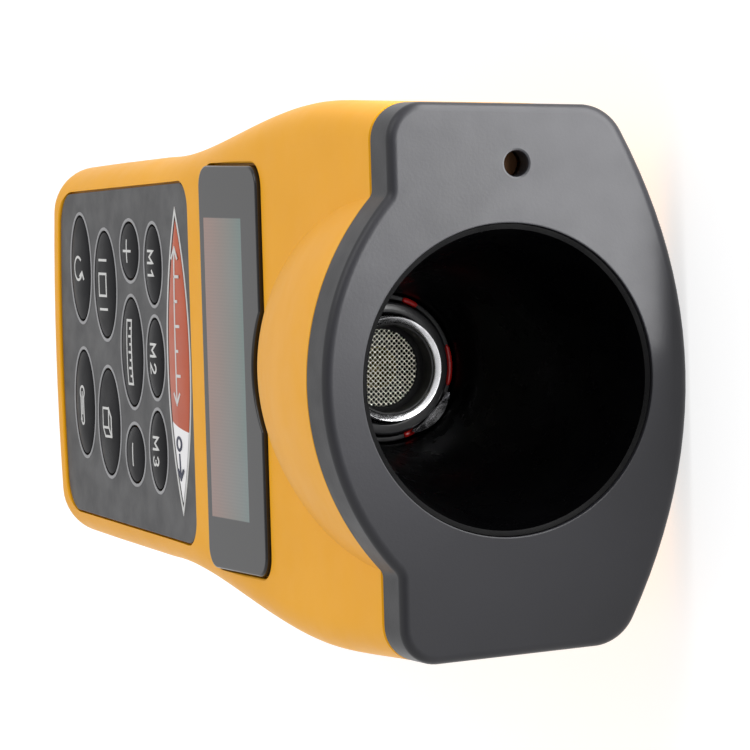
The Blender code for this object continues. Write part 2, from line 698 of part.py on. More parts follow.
def battery_door(finish):
    door = shell("battery_door", finish)
    boolean(door, "UNION", door_ribs())
    boolean(door, "INTERSECT", door_cutter("door_outline", 0.0))
    for side, word in ((-1, "left"), (1, "right")):
        boolean(door, "UNION", door_tongue(word, side))
    return door


def tongue_heights():
    """Underside and top of the door's tongues, which clear the housing's rounded inside."""
    flat = half_width(LENGTH - DOOR_TAIL) - SIDE_DRAFT - HEEL_HANDLE
    rise = quarter(HEEL_HANDLE - WALL, DOOR_HALF_WIDTH + DOOR_LIP - flat)
    under = -HANDLE_BACK + WALL + GAP + rise
    return under, under + DOOR_TONGUE


def door_tongue(word, side):
    """A riser from the door's inner face and a tongue on it that slides over the housing's edge."""
    foot, root = DOOR_HALF_WIDTH - DOOR_LIP, DOOR_HALF_WIDTH - GAP
    tip = DOOR_HALF_WIDTH + DOOR_LIP - GAP
    low, (under, top) = -HANDLE_BACK + WALL / 2, tongue_heights()
    profile = [(foot, low), (root, low), (root, under), (tip, under), (tip, top), (foot, top)]
    ends = y_at(DOOR_START + WALL), y_at(LENGTH - DOOR_TAIL - 2 * WALL)
    rings = [[(side * x, y, z_at(h)) for x, h in profile] for y in ends]
    return loft(f"door_tongue_{word}", rings, fan=False)


def door_ribs():
    half, ribs = DOOR_HALF_WIDTH / 2, []
    for i in range(DOOR_RIBS):
        d = DOOR_START + 3 * DOOR_RIB_PITCH + i * DOOR_RIB_PITCH
        outline = rectangle(-half, half, y_at(d), y_at(d + DOOR_RIB_PITCH / 2))
        ribs.append((outline, z_at(-HANDLE_BACK - DOOR_RIB_HEIGHT), z_at(-HANDLE_BACK + WALL / 2)))
    return prisms("door_ribs", ribs)


# Nose, horn, transducer and laser


def front_bezel(finish):
    """The black nose: front plate with a filleted edge, a rim, and a spigot that enters the housings."""
    spigot_inset = WALL + 2.6 * GAP
    angles = [math.pi / 2 * i / 3 for i in range(4)]
    steps = [(RIM_FILLET * (1 - math.sin(a)), RIM_FILLET * (1 - math.cos(a))) for a in angles]
    spigot_inner, spigot_end = spigot_inset + SPIGOT_WALL, RIM_DEPTH + SPIGOT_LENGTH
    steps += [(0.0, RIM_DEPTH), (spigot_inset, RIM_DEPTH), (spigot_inset, spigot_end)]
    steps += [(spigot_inner, spigot_end), (spigot_inner, NOSE_PLATE)]
    rings = [[(x, y_at(depth), z_at(h)) for x, h in nose_outline(inset)] for inset, depth in steps]
    bezel = loft("front_bezel", rings, finish)
    mouth = rod("horn_mouth", 0.0, 0.0, HORN_MOUTH_RADIUS, -WALL, RIM_DEPTH, steps=56)
    boolean(bezel, "DIFFERENCE", mouth)
    laser_mouth = rod("laser_mouth", LASER_X, LASER_Z, LASER_HOLE_RADIUS, -WALL, RIM_DEPTH)
    boolean(bezel, "DIFFERENCE", laser_mouth)
    return bezel


def horn_radius(depth):
    """Inside of the horn, from its lip to the throat."""
    lip = HORN_MOUTH_RADIUS - GAP - HORN_LIP
    throat = throat_radius()
    t = min(1.0, max(0.0, depth / THROAT_START))
    return throat + (lip - throat) * (1 - t) ** 1.1


def throat_radius():
    return CAN_RADIUS + GAP + COLLAR_WALL + GAP + SEAL_WALL + GAP


def horn(finish):
    """A cone with a lip in the nose's hole, a flange behind its plate, and a tube for the transducer."""
    depths = [GAP + (THROAT_START - GAP) * i / 5 for i in range(6)]
    inside = [(horn_radius(d), d) for d in depths] + [(throat_radius(), CAN_END + GAP)]
    rear = [(CAN_RADIUS - CAN_WALL, CAN_END + GAP), (CAN_RADIUS - CAN_WALL, HORN_END)]
    outside = [(throat_radius() + HORN_WALL, HORN_END)]
    outside += [(horn_radius(d) + HORN_WALL, d) for d in reversed(depths[2:])]
    flange = NOSE_PLATE + GAP
    outside += [(horn_radius(flange + HORN_WALL) + HORN_WALL, flange + HORN_WALL)]
    rim = HORN_MOUTH_RADIUS + HORN_FLANGE
    outside += [(rim, flange + HORN_WALL), (rim, flange)]
    outside += [(HORN_MOUTH_RADIUS - GAP, flange), (HORN_MOUTH_RADIUS - GAP, GAP)]
    return turned("horn", inside + rear + outside, 0.0, 0.0, finish, steps=36)


def transducer():
    """Aluminium can with its mesh, its plastic base with two pins, and the red seal round it."""
    mesh_front = CAN_DEPTH + MESH_DEPTH_IN_CAN
    bore, seat = CAN_RADIUS - CAN_WALL, CAN_RADIUS - 2 * CAN_WALL
    shelf = mesh_front + MESH_THICKNESS + GAP
    profile = [(CAN_RADIUS, CAN_DEPTH), (CAN_RADIUS, CAN_END), (bore, CAN_END), (bore, shelf + CAN_WALL)]
    profile += [(seat, shelf + CAN_WALL), (seat, shelf), (bore, shelf), (bore, CAN_DEPTH)]
    turned("transducer_can", profile, 0.0, 0.0, material("aluminium", SILVER, 0.3, 1.0))
    rod("transducer_mesh", 0.0, 0.0, bore - GAP, mesh_front, mesh_front + MESH_THICKNESS,
        material("woven mesh", (0.5, 0.48, 0.42), 0.4, 1.0), steps=32)
    base = rod("transducer_base", 0.0, 0.0, bore - GAP, CAN_END - 2.0 * MM, CAN_END - GAP,
               material("black plastic", BLACK, 0.5), steps=32)
    ends = CAN_END - 1.2 * MM, CAN_END + PIN_LENGTH
    for side, name in ((-1, "left"), (1, "right")):
        boolean(base, "UNION", rod(f"pin_{name}", side * PIN_X, 0.0, 0.5 * MM, *ends, steps=12))
    grey, red = material("grey plastic", (0.3, 0.3, 0.31), 0.3), material("red silicone", RED, 0.35)
    collar = CAN_RADIUS + GAP, CAN_RADIUS + GAP + COLLAR_WALL
    sleeve("transducer_collar", *collar, CAN_DEPTH + COLLAR_BEHIND_RIM, grey)
    seal = collar[1] + GAP, collar[1] + GAP + SEAL_WALL
    sleeve("transducer_seal", *seal, CAN_DEPTH + SEAL_BEHIND_RIM, red)


def sleeve(name, inner, outer, start, finish):
    """A tube round the transducer with a rounded front edge."""
    ring = [(outer, start + SLEEVE_ROUND), (outer, CAN_END), (inner, CAN_END), (inner, start)]
    turned(name, ring + [(outer - SLEEVE_ROUND, start)], 0.0, 0.0, finish)


def laser():
    """Brass barrel behind the nose's small hole, with its lens, held by a clamp."""
    start = NOSE_PLATE + 2 * GAP
    end = start + LASER_BARREL_LENGTH
    bore, floor = LASER_LENS_RADIUS + GAP, start + 3.0 * MM
    profile = [(LASER_BARREL_RADIUS, start), (LASER_BARREL_RADIUS, end), (0.0, end), (0.0, floor)]
    profile += [(bore, floor), (bore, start)]
    turned("laser_barrel", profile, LASER_X, LASER_Z, material("brass", BRASS, 0.3, 1.0), steps=28)
    rod("laser_lens", LASER_X, LASER_Z, LASER_LENS_RADIUS, start + 1.2 * MM, start + 2.4 * MM,
        material("lens glass", (0.75, 0.8, 0.85), 0.05), steps=20)
    inner, outer = LASER_BARREL_RADIUS + GAP, LASER_BARREL_RADIUS + 2.0 * MM
    clamp_start = start + SPIGOT_LENGTH + RIM_DEPTH
    ring = [(outer, clamp_start), (outer, end - GAP), (inner, end - GAP), (inner, clamp_start)]
    turned("laser_clamp", ring, LASER_X, LASER_Z, material("black plastic", BLACK, 0.5), steps=28)
    return end


# Display and keypad


def display(finish_black):
    top = FACE + WINDOW_PROUD
    prism("display_window", window_outline(0.0), z_at(top - WINDOW_THICKNESS), z_at(top),
          material("window", (0.05, 0.055, 0.06), 0.08))
    near, far = GLASS_START, GLASS_START + GLASS_LENGTH
    floor = BOARD_TOP + GAP
    light_top = floor + BACKLIGHT_THICKNESS
    glass_low = light_top + GAP
    glass_top = glass_low + GLASS_THICKNESS
    edge = ZEBRA_WIDTH + 2 * GAP
    half = GLASS_HALF_WIDTH
    box("lcd_glass", -half, half, y_at(near), y_at(far), z_at(glass_low), z_at(glass_top),
        material("lcd glass", (0.35, 0.4, 0.36), 0.15))
    box("lcd_backlight", -half + edge, half - edge, y_at(near + edge), y_at(far - edge), z_at(floor),
        z_at(light_top), material("light guide", WHITE, 0.4))
    rubber = material("zebra rubber", (0.5, 0.35, 0.45), 0.7)
    box("zebra_strip_near", -half + edge, half - edge, y_at(near + GAP), y_at(near + GAP + ZEBRA_WIDTH),
        z_at(floor), z_at(light_top), rubber)
    box("zebra_strip_far", -half + edge, half - edge, y_at(far - GAP - ZEBRA_WIDTH), y_at(far - GAP),
        z_at(floor), z_at(light_top), rubber)
    inner, outer = GAP, GAP + LCD_FRAME_WALL
    sides = -half - outer, half + outer, y_at(near - outer), y_at(far + outer)
    frame = box("lcd_frame", *sides, z_at(floor), z_at(glass_top), finish_black)
    sides = -half - inner, half + inner, y_at(near - inner), y_at(far + inner)
    boolean(frame, "DIFFERENCE", box("lcd_frame_hole", *sides, z_at(floor - WALL), z_at(glass_top + WALL)))


def keypad(finish_black):
    top = FACE - OVERLAY_SUNK
    low = z_at(top - OVERLAY_THICKNESS)
    overlay = prism("keypad_overlay", keypad_outline(), low, z_at(top), finish_black)
    boolean(overlay, "DIFFERENCE", key_holes("overlay_holes", top - WALL, top + WALL))
    mat_top = BOARD_TOP + GAP + MAT_THICKNESS
    bumps = []
    for key in key_list():
        name, x, depth, half_x, half_y = key
        one_key(name, x, depth, half_x, half_y, top)
        share = max(-1.0, min(1.0, x / (BOARD_HANDLE_HALF_WIDTH - MAT_BUMP_RADIUS)))
        stem_x = share * (BOARD_HANDLE_HALF_WIDTH - MAT_BUMP_RADIUS)
        low = mat_top - MAT_THICKNESS / 2
        bumps.append(post(stem_x, depth, MAT_BUMP_RADIUS, low, mat_top + MAT_BUMP, 12))
    half = BOARD_HANDLE_HALF_WIDTH
    mat = box("key_mat", -half, half, y_at(KEYPAD_START + 2 * GAP), y_at(LENGTH - BOARD_TAIL_MARGIN),
              z_at(BOARD_TOP + GAP), z_at(mat_top), material("silicone", RUBBER, 0.7))
    boolean(mat, "UNION", prisms("mat_bumps", bumps))


def one_key(name, x, depth, half_x, half_y, overlay_top):
    """A key on its slide: an empty at its rest place carries a domed cap with a narrower stem below."""
    mount = bpy.data.objects.new(f"{name}_slide", None)
    mount.location = (x, y_at(depth), z_at(overlay_top))
    bpy.context.scene.collection.objects.link(mount)
    colour = (0.62, 0.1, 0.03) if name == "key_measure" else BLACK
    cap_low = overlay_top - OVERLAY_THICKNESS - 2 * GAP
    stem_low = BOARD_TOP + GAP + MAT_THICKNESS + MAT_BUMP + GAP + KEY_TRAVEL
    levels = [(KEY_STEM_SHARE, stem_low), (KEY_STEM_SHARE, cap_low), (1.0, cap_low)]
    levels += [(1.0, overlay_top), (0.9, overlay_top + KEY_PROUD * 0.55)]
    levels += [(0.6, overlay_top + KEY_PROUD * 0.9)]
    rings = []
    for share, height in levels:
        outline = key_outline(name, 0.0, -FRONT_Y, half_x, half_y, -KEY_RING, share)
        rings.append([(px, py, height - overlay_top) for px, py in outline])
    key = loft(name, rings, material(f"{name} finish", colour, 0.4))
    key.parent = mount
    return key


# Boards, battery, leads and screws


def main_board():
    wide, narrow = BOARD_HEAD_HALF_WIDTH, BOARD_HANDLE_HALF_WIDTH
    start, step, end = BOARD_START, KEYPAD_START + 2.0 * MM, LENGTH - BOARD_TAIL_MARGIN
    outline = [(-wide, start), (wide, start), (wide, step), (narrow, step), (narrow, end)]
    outline += [(-narrow, end), (-narrow, step), (-wide, step)]
    board = prism("main_board", [(x, y_at(d)) for x, d in outline], z_at(BOARD_TOP - BOARD_THICKNESS),
                  z_at(BOARD_TOP), material("circuit board", GREEN, 0.4))
    holes = [post(x, d, BOARD_SCREW_RADIUS + GAP, 0.0, FACE) for x, d in board_screw_places()]
    boolean(board, "DIFFERENCE", prisms("board_holes", holes))


def board_parts():
    """What is soldered to the board's underside: (name, x, depth, size x, size y, height, finish)."""
    chip = material("chip black", (0.02, 0.02, 0.022), 0.5)
    copper = material("transformer can", COPPER, 0.4, 0.6)
    silver = material("crystal can", SILVER, 0.3, 1.0)
    navy = material("capacitor sleeve", (0.02, 0.03, 0.08), 0.35)
    under = BOARD_TOP - BOARD_THICKNESS - GAP
    square = (
        ("microcontroller", 0.0, 70.0 * MM, 10.0 * MM, 10.0 * MM, 1.6 * MM, chip),
        ("amplifier_chip", 11.5 * MM, 66.0 * MM, 5.0 * MM, 6.0 * MM, 1.5 * MM, chip),
        ("drive_transformer", -13.0 * MM, 68.0 * MM, 9.0 * MM, 9.0 * MM, 8.0 * MM, copper),
        ("crystal", 12.0 * MM, 74.0 * MM, 10.0 * MM, 3.8 * MM, 3.4 * MM, silver),
    )
    for name, x, d, size_x, size_y, height, finish in square:
        corners = rectangle(x + size_x / 2, x - size_x / 2, y_at(d) - size_y / 2, y_at(d) + size_y / 2)
        outline = rounded([(px, py, 0.4 * MM) for px, py in corners], steps=2)
        prism(name, outline, z_at(under - height), z_at(under), finish)
    round_parts = (
        ("buzzer", -13.5 * MM, 78.4 * MM, 5.0 * MM, 4.4 * MM, chip),
        ("filter_capacitor", -21.0 * MM, 62.5 * MM, 3.1 * MM, 7.5 * MM, navy),
    )
    for name, x, d, radius, height, finish in round_parts:
        prism(name, circle(x, y_at(d), radius), z_at(under - height), z_at(under), finish)


def battery():
    """A 9 V block with two studs towards the nose, and the snap connector over them."""
    end = LENGTH - WALL - BATTERY_TAIL_ROOM
    start = end - BATTERY_LENGTH
    low = -HANDLE_BACK + WALL + GAP + 0.2 * MM
    high = low + BATTERY_HEIGHT
    half, middle = BATTERY_HALF_WIDTH, (low + high) / 2
    corners = [(half, low, 1.5 * MM), (half, high, 1.5 * MM), (-half, high, 1.5 * MM), (-half, low, 1.5 * MM)]
    ring = rounded(corners, steps=3)
    block = loft("battery", [[(x, y_at(d), z_at(h)) for x, h in ring] for d in (start, end)],
                 material("battery wrap", (0.03, 0.03, 0.035), 0.35))
    snap_end = start - GAP
    snap_start = snap_end - SNAP_THICKNESS + GAP
    wide, tall = half - 0.5 * MM, 6.0 * MM
    corners = rectangle(wide, -wide, middle - tall, middle + tall)
    ring = rounded([(x, h, 2.0 * MM) for x, h in corners], steps=3)
    snap = loft("battery_snap", [[(x, y_at(d), z_at(h)) for x, h in ring] for d in (snap_start, snap_end)],
                material("vinyl", BLACK, 0.5))
    for side, radius, word in ((-1, 2.7 * MM, "small"), (1, 3.4 * MM, "large")):
        x = side * BATTERY_STUD_X
        tip = start - BATTERY_STUD_LENGTH
        stud = rod(f"stud_{word}", x, middle, radius, tip, start + MM, steps=16)
        boolean(block, "UNION", stud)
        hole = rod(f"snap_hole_{word}", x, middle, radius + GAP, tip - GAP, start + MM, steps=16)
        boolean(snap, "DIFFERENCE", hole)
    return snap_start, middle


def leads(snap_start, snap_height, laser_end):
    under = BOARD_TOP - BOARD_THICKNESS - 1.4 * GAP
    finishes = material("red wire", RED, 0.4), material("black wire", (0.02, 0.02, 0.02), 0.4)
    for side, word, finish in zip((1, -1), ("red", "black"), finishes):
        battery_lead(f"battery_lead_{word}", side, snap_start - GAP, snap_height, under, finish)
        transducer_lead(f"transducer_lead_{word}", side, under, finish)
        laser_lead(f"laser_lead_{word}", side, laser_end, under, finish)


def battery_lead(name, side, end, height, under, finish):
    """From the snap's face up to the board's underside."""
    x, land = side * 4.0 * MM, (1.0 + 4.0 * side) * MM
    before, top = end - WIRE_RADIUS, height + 4.3 * MM
    points = [(x, end, top), (x, before - 2.5 * MM, top)]
    points += [(mix(x, land, 0.6), before - 4.5 * MM, top + 1.2 * MM)]
    points += [(land, before - 6.0 * MM, under - 2.5 * MM), (land, before - 6.0 * MM, under)]
    wire(name, points, finish)


def transducer_lead(name, side, under, finish):
    """From a pin of the transducer up to the board's underside."""
    x, land, end = side * PIN_X, side * 6.5 * MM, CAN_END + PIN_LENGTH + 1.5 * GAP
    points = [(x, end, 0.0), (mix(x, land, 0.3), end + 2.5 * MM, 0.3 * MM)]
    points += [(land, end + 4.8 * MM, 2.6 * MM), (land, end + 5.0 * MM, under)]
    wire(name, points, finish)


def laser_lead(name, side, laser_end, under, finish):
    """From the back of the laser's barrel past the horn to the board's underside."""
    x, land = LASER_X + side * MM, (19.75 + 1.25 * side) * MM
    points = [(x, laser_end + GAP, LASER_Z), (x - 1.5 * MM, laser_end + 9.0 * MM, LASER_Z + 0.5 * MM)]
    points += [(mix(x, land, 0.75), BOARD_START - 13.0 * MM, LASER_Z + 2.0 * MM)]
    points += [(land, BOARD_START - 2.0 * MM, LASER_Z + 2.5 * MM)]
    points += [(land, BOARD_START + 3.8 * MM, under - 2 * MM), (land, BOARD_START + 4.0 * MM, under)]
    wire(name, points, finish)


def screw(name, x, depth, seat, radius, head_radius, head_height, length, finish):
    """Pan head below its seat, shank above it: the screws go in from the back."""
    low = seat - head_height
    profile = [(head_radius * 0.75, low), (head_radius, mix(low, seat, 0.4)), (head_radius, seat)]
    profile += [(radius, seat), (radius, seat + length * 0.9), (radius * 0.4, seat + length)]
    bm = bmesh.new()
    rings = []
    for r, h in profile:
        rings.append([bm.verts.new((px, py, z_at(h))) for px, py in circle(x, y_at(depth), r, 12)])
    for near, far in zip(rings, rings[1:]):
        for i, vertex in enumerate(near):
            bm.faces.new((vertex, near[i - 1], far[i - 1], far[i]))
    bm.faces.new(rings[0])
    bm.faces.new(rings[-1])
    made = finish_object(name, bm, finish)
    slot_low, slot_high = z_at(low - head_height / 2), z_at(seat - head_height * 0.45)
    arm, width, y = head_radius * 0.6, head_radius * 0.14, y_at(depth)
    for word, half_x, half_y in (("x", arm, width), ("y", width, arm)):
        slot = box(f"{name}_slot_{word}", x - half_x, x + half_x, y - half_y, y + half_y, slot_low, slot_high)
        boolean(made, "DIFFERENCE", slot)


def screws():
    steel = material("screw steel", (0.4, 0.4, 0.42), 0.35, 1.0)
    head = SCREW_HEAD_RADIUS, SCREW_HEAD_HEIGHT
    for i, (x, depth) in enumerate(screw_places(), start=1):
        screw(f"housing_screw_{i}", x, depth, SCREW_SEAT, SCREW_RADIUS, *head, SCREW_LENGTH, steel)
    seat, head = BOARD_TOP - BOARD_THICKNESS - GAP, (SCREW_HEAD_RADIUS * 0.8, 1.4 * MM)
    for i, (x, depth) in enumerate(board_screw_places(), start=1):
        screw(f"board_screw_{i}", x, depth, seat, BOARD_SCREW_RADIUS, *head, BOARD_SCREW_LENGTH, steel)


def clear_scene():
    for obj in list(bpy.data.objects):
        bpy.data.objects.remove(obj, do_unlink=True)


def main():
    clear_scene()
    yellow = material("yellow plastic", YELLOW, 0.42)
    black = material("black plastic", BLACK, 0.5)
    upper_housing(yellow)
    lower_housing(yellow)
    battery_door(material("door plastic", YELLOW, 0.45))
    front_bezel(black)
    horn(material("gloss black plastic", GLOSS_BLACK, 0.08))
    transducer()
    laser_end = laser()
    display(black)
    keypad(black)
    main_board()
    board_parts()
    snap_start, snap_height = battery()
    leads(snap_start, snap_height, laser_end)
    screws()


main()
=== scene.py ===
import json
from math import acos, asin, atan, atan2, cos, hypot, pi, radians, sin, sqrt, tan

import bmesh
import bpy
from mathutils import Matrix, Vector


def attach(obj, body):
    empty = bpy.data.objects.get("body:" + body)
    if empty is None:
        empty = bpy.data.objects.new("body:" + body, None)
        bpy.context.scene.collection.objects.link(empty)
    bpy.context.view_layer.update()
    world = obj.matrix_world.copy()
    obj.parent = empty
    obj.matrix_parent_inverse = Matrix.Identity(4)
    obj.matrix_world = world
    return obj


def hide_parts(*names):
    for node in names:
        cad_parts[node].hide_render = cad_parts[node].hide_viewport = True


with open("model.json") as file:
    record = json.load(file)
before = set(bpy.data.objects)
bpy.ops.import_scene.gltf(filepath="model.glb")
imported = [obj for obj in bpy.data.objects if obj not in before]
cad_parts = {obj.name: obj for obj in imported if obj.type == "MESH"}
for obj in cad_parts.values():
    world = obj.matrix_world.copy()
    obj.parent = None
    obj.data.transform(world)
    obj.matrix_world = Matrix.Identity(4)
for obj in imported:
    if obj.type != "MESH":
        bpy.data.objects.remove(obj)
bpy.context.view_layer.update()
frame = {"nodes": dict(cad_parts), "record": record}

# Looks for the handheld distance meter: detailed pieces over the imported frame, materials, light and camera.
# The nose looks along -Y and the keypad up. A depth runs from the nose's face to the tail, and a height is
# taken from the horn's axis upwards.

MM = 0.001

# Housing
LENGTH = 141.4 * MM
HEAD_HALF_WIDTH, HANDLE_HALF_WIDTH, HANDLE_TAPER = 36.2 * MM, 28.9 * MM, 1.7 * MM
SIDE_DRAFT = 0.9 * MM
WAIST_START, WAIST_END = 28.5 * MM, 97.6 * MM
BACK_RISE_START, BACK_RISE_END = 44.0 * MM, 84.0 * MM
HEAD_BACK, HANDLE_BACK, FACE = 25.1 * MM, 16.0 * MM, 15.6 * MM
HEAD_CROWN = 10.3 * MM
EDGE_FRONT, EDGE_HANDLE = 4.8 * MM, 6.0 * MM
HEEL_FRONT, HEEL_HANDLE = 6.5 * MM, 9.0 * MM
TAIL_CORNER, TAIL_EDGE, TAIL_BOW = 6.0 * MM, 5.0 * MM, 2.6 * MM
WALL, PARTING, GAP = 2.0 * MM, -2.0 * MM, 0.3 * MM
# Dome, nose plate and the openings in it
DOME_AXIS, DOME_RADIUS, DOME_REACH = -9.8 * MM, 35.0 * MM, 50.0 * MM
RIM_DEPTH, RIM_FILLET, NOSE_HALF_WIDTH = 6.5 * MM, 1.2 * MM, 35.6 * MM
NOSE_PLATE, NOSE_KINK = 2.6 * MM, 1.6 * MM
HORN_MOUTH_RADIUS = 20.0 * MM
LASER_X, LASER_Z, LASER_HOLE_RADIUS = 27.5 * MM, -1.8 * MM, 1.65 * MM
# Transducer in the horn's throat
CAN_RADIUS, CAN_DEPTH, CAN_END, CAN_WALL = 7.1 * MM, 39.8 * MM, 49.8 * MM, 0.9 * MM
CAN_RIM_SLOPE = 0.22 * MM
MESH_DEPTH, MESH_RADIUS, MESH_PITCH, MESH_WIRE_RADIUS = 44.2 * MM, 5.6 * MM, 0.50 * MM, 0.085 * MM
COLLAR_INNER_RADIUS, COLLAR_OUTER_RADIUS, COLLAR_DEPTH = 7.4 * MM, 9.0 * MM, CAN_DEPTH + 2.4 * MM
SEAT_INNER_RADIUS, SEAT_OUTER_RADIUS, SEAT_DEPTH = 9.3 * MM, 10.0 * MM, CAN_DEPTH + 3.4 * MM
BEAD_RING_RADIUS, BEAD_RADIUS = 9.62 * MM, 0.36 * MM
# Beads of silicone round the seat: the middle's angle from straight down, and the half span, in degrees
BEADS = ((0.0, 17.0), (65.0, 7.0), (-69.0, 5.0), (180.0, 17.0))
THROAT_START, THROAT_RADIUS = 40.5 * MM, 10.3 * MM
# Display window, keypad and keys
WINDOW_START, WINDOW_END = 47.3 * MM, 70.1 * MM
WINDOW_HALF_WIDTH, WINDOW_CORNER, WINDOW_PROUD, WINDOW_THICKNESS = 27.8 * MM, 3.0 * MM, 0.6 * MM, 1.6 * MM
WINDOW_BITE_CLEAR = 0.6 * MM
KEYPAD_START, KEYPAD_END = 77.0 * MM, 134.8 * MM
KEYPAD_NEAR_HALF_WIDTH, KEYPAD_FAR_HALF_WIDTH, KEYPAD_CORNER = 25.5 * MM, 23.4 * MM, 3.6 * MM
OVERLAY_TOP = FACE - 0.3 * MM
KEY_RING, KEY_PROUD, MEASURE_TIP = 0.5 * MM, 0.5 * MM, 0.5 * MM
LCD_START, LCD_END, LCD_HALF_WIDTH, LCD_ROW_PITCH = 53.3 * MM, 68.2 * MM, 20.7 * MM, 0.45 * MM
MEASURE_WHITE_FROM, MEASURE_WHITE_SLANT = -9.0 * MM, -0.22
# Battery door and the screws in the back (x and depth in mm)
DOOR_START, DOOR_HALF_WIDTH, DOOR_LIP = 84.2 * MM, 15.4 * MM, 1.6 * MM
DOOR_TAIL, DOOR_END_HEIGHT = 6.0 * MM, 8.0 * MM
RIB_COUNT, RIB_FIRST, RIB_PITCH = 5, 6.6 * MM, 2.2 * MM
SCREWS = ((27.5, 41.0), (-27.5, 41.0), (21.4, 132.4), (-21.4, 132.4))
SCREW_SEAT, SCREW_HEAD_RADIUS = -11.0 * MM, 2.6 * MM

# Studio: brightness of sky and floor, and a lamp's place, aim, width, height and power
SKY, SKY_DIM, SKY_DIM_TOWARDS, SKY_DIM_FROM = 0.80, 0.30, (0.0, -0.71, 0.71), 0.80
FLOOR_HALF_SIZE, FLOOR_CLEARANCE, FLOOR_GLOW = 2.5, 0.0002, 0.72
KEY_LIGHT = ((0.75, -0.25, 0.95), (0.0, 0.0, 0.02), 0.7, 0.7, 2.6)
FLOOR_PANEL = ((0.083, -0.160, 0.002), (0.083, -0.160, 1.0), 0.160, 0.17, 0.62)
# Camera: where it stands, its picture's right and down directions, and its focal length in film widths
CAMERA_PLACE = (0.03492, -0.6754, 0.2827)
CAMERA_RIGHT, CAMERA_DOWN = (-0.02909, -0.36911, -0.92893), (-0.99826, -0.03697, 0.04595)
CAMERA_FILM, CAMERA_FOCAL = 36.0, 6.902493

FRONT_Y = -LENGTH / 2
DOME_DROP = DOME_RADIUS - (FACE - DOME_AXIS)
DOME_PROFILE = (DOME_REACH**2 + DOME_DROP**2) / (2 * DOME_DROP)

# Rows of keys from the window towards the tail: depth, then (name, x, half width, half height) in mm
KEY_ROWS = (
    (82.55, (("measure", 0.2, 21.15, 4.65),)),
    (92.35, (("memory_1", 13.7, 5.95, 3.95), ("memory_2", 0.4, 5.95, 3.95), ("memory_3", -12.9, 5.95, 3.95))),
    (102.5, (("plus", 15.5, 4.45, 4.3), ("unit", 0.9, 8.15, 5.0), ("minus", -13.9, 4.45, 4.3))),
    (113.8, (("area", 10.4, 8.1, 5.1), ("volume", -9.7, 8.1, 5.1))),
    (124.8, (("recall", 12.6, 8.05, 4.7), ("temperature", -7.3, 8.05, 4.7))),
)
KEYS = {f"key_{name}": (x, depth, wide, tall) for depth, row in KEY_ROWS for name, x, wide, tall in row}
MEASURE_DEPTH = KEYS["key_measure"][1] * MM


def y_at(depth):
    return FRONT_Y + depth


def z_at(height):
    return HEAD_BACK + height


def mix(a, b, t):
    return a + (b - a) * t


def clamp01(t):
    return min(1.0, max(0.0, t))


def smooth(value, start, end):
    t = clamp01((value - start) / (end - start))
    return t * t * (3 - 2 * t)


# --- materials


class Graph:
    """A node tree with short calls."""

    def __init__(self, name):
        self.material = bpy.data.materials.new(name)
        self.material.use_nodes = True
        self.nodes, self.links = self.material.node_tree.nodes, self.material.node_tree.links
        self.shader = self.nodes["Principled BSDF"]
        self.coords = self.nodes.new("ShaderNodeTexCoord").outputs["Object"]

    def feed(self, socket, value):
        """Links another node's socket, or sets a plain value or colour."""
        if isinstance(value, bpy.types.NodeSocket):
            self.links.new(value, socket)
        elif socket.type == "RGBA" and len(value) == 3:
            socket.default_value = (*value, 1.0)
        else:
            socket.default_value = value

    def set(self, key, value):
        self.feed(self.shader.inputs[key], value)

    def node(self, kind, values, **settings):
        made = self.nodes.new(kind)
        for key, value in settings.items():
            setattr(made, key, value)
        for key, value in values.items():
            self.feed(made.inputs[key], value)
        return made

    def noise(self, scale, detail=2.0, roughness=0.5, vector=None):
        values = {"Vector": vector or self.coords, "Scale": scale, "Detail": detail, "Roughness": roughness}
        return self.node("ShaderNodeTexNoise", values).outputs["Fac"]

    def remap(self, value, low, high, start=0.3, end=0.7):
        values = {"Value": value, "From Min": start, "From Max": end, "To Min": low, "To Max": high}
        return self.node("ShaderNodeMapRange", values, clamp=True).outputs["Result"]

    def math(self, operation, a, b=0.0):
        return self.node("ShaderNodeMath", {0: a, 1: b}, operation=operation).outputs[0]

    def blend(self, factor, a, b):
        return self.node("ShaderNodeMix", {0: factor, 6: a, 7: b}, data_type="RGBA").outputs[2]

    def axes(self):
        return self.node("ShaderNodeSeparateXYZ", {"Vector": self.coords}).outputs

    def bump(self, height, strength, distance):
        values = {"Height": height, "Strength": strength, "Distance": distance}
        self.set("Normal", self.node("ShaderNodeBump", values).outputs["Normal"])


def plastic(name, colour, shade, rough, grain=0.00028, relief=0.25, coat=0.0, specular=0.5, spread=0.08):
    """Moulded plastic: two close tones in soft patches, uneven gloss and a fine spark-eroded grain."""
    g = Graph(name)
    g.set("Base Color", g.blend(g.remap(g.noise(60, 3.0), 0.0, 1.0), colour, shade))
    g.set("Roughness", g.remap(g.noise(240, 3.0), rough - spread, rough + spread))
    fine = g.noise(1 / grain, 2.0, 0.6)
    g.bump(fine, relief, 0.00006)
    g.set("Specular IOR Level", specular)
    if coat:
        g.set("Coat Weight", coat)
        g.set("Coat Roughness", 0.08)
    return g.material


def metal(name, colour, shade, rough, scale=900):
    """Metal with fine brushing across Y and small tone changes."""
    g = Graph(name)
    stretched = g.node("ShaderNodeMapping", {"Vector": g.coords, "Scale": (1.0, 8.0, 1.0)}).outputs["Vector"]
    brush = g.noise(scale, 3.0, 0.6, stretched)
    g.set("Base Color", g.blend(g.remap(brush, 0.0, 1.0), colour, shade))
    g.set("Roughness", g.remap(brush, rough - 0.08, rough + 0.1))
    g.set("Metallic", 1.0)
    g.bump(brush, 0.15, 0.00002)
    return g.material


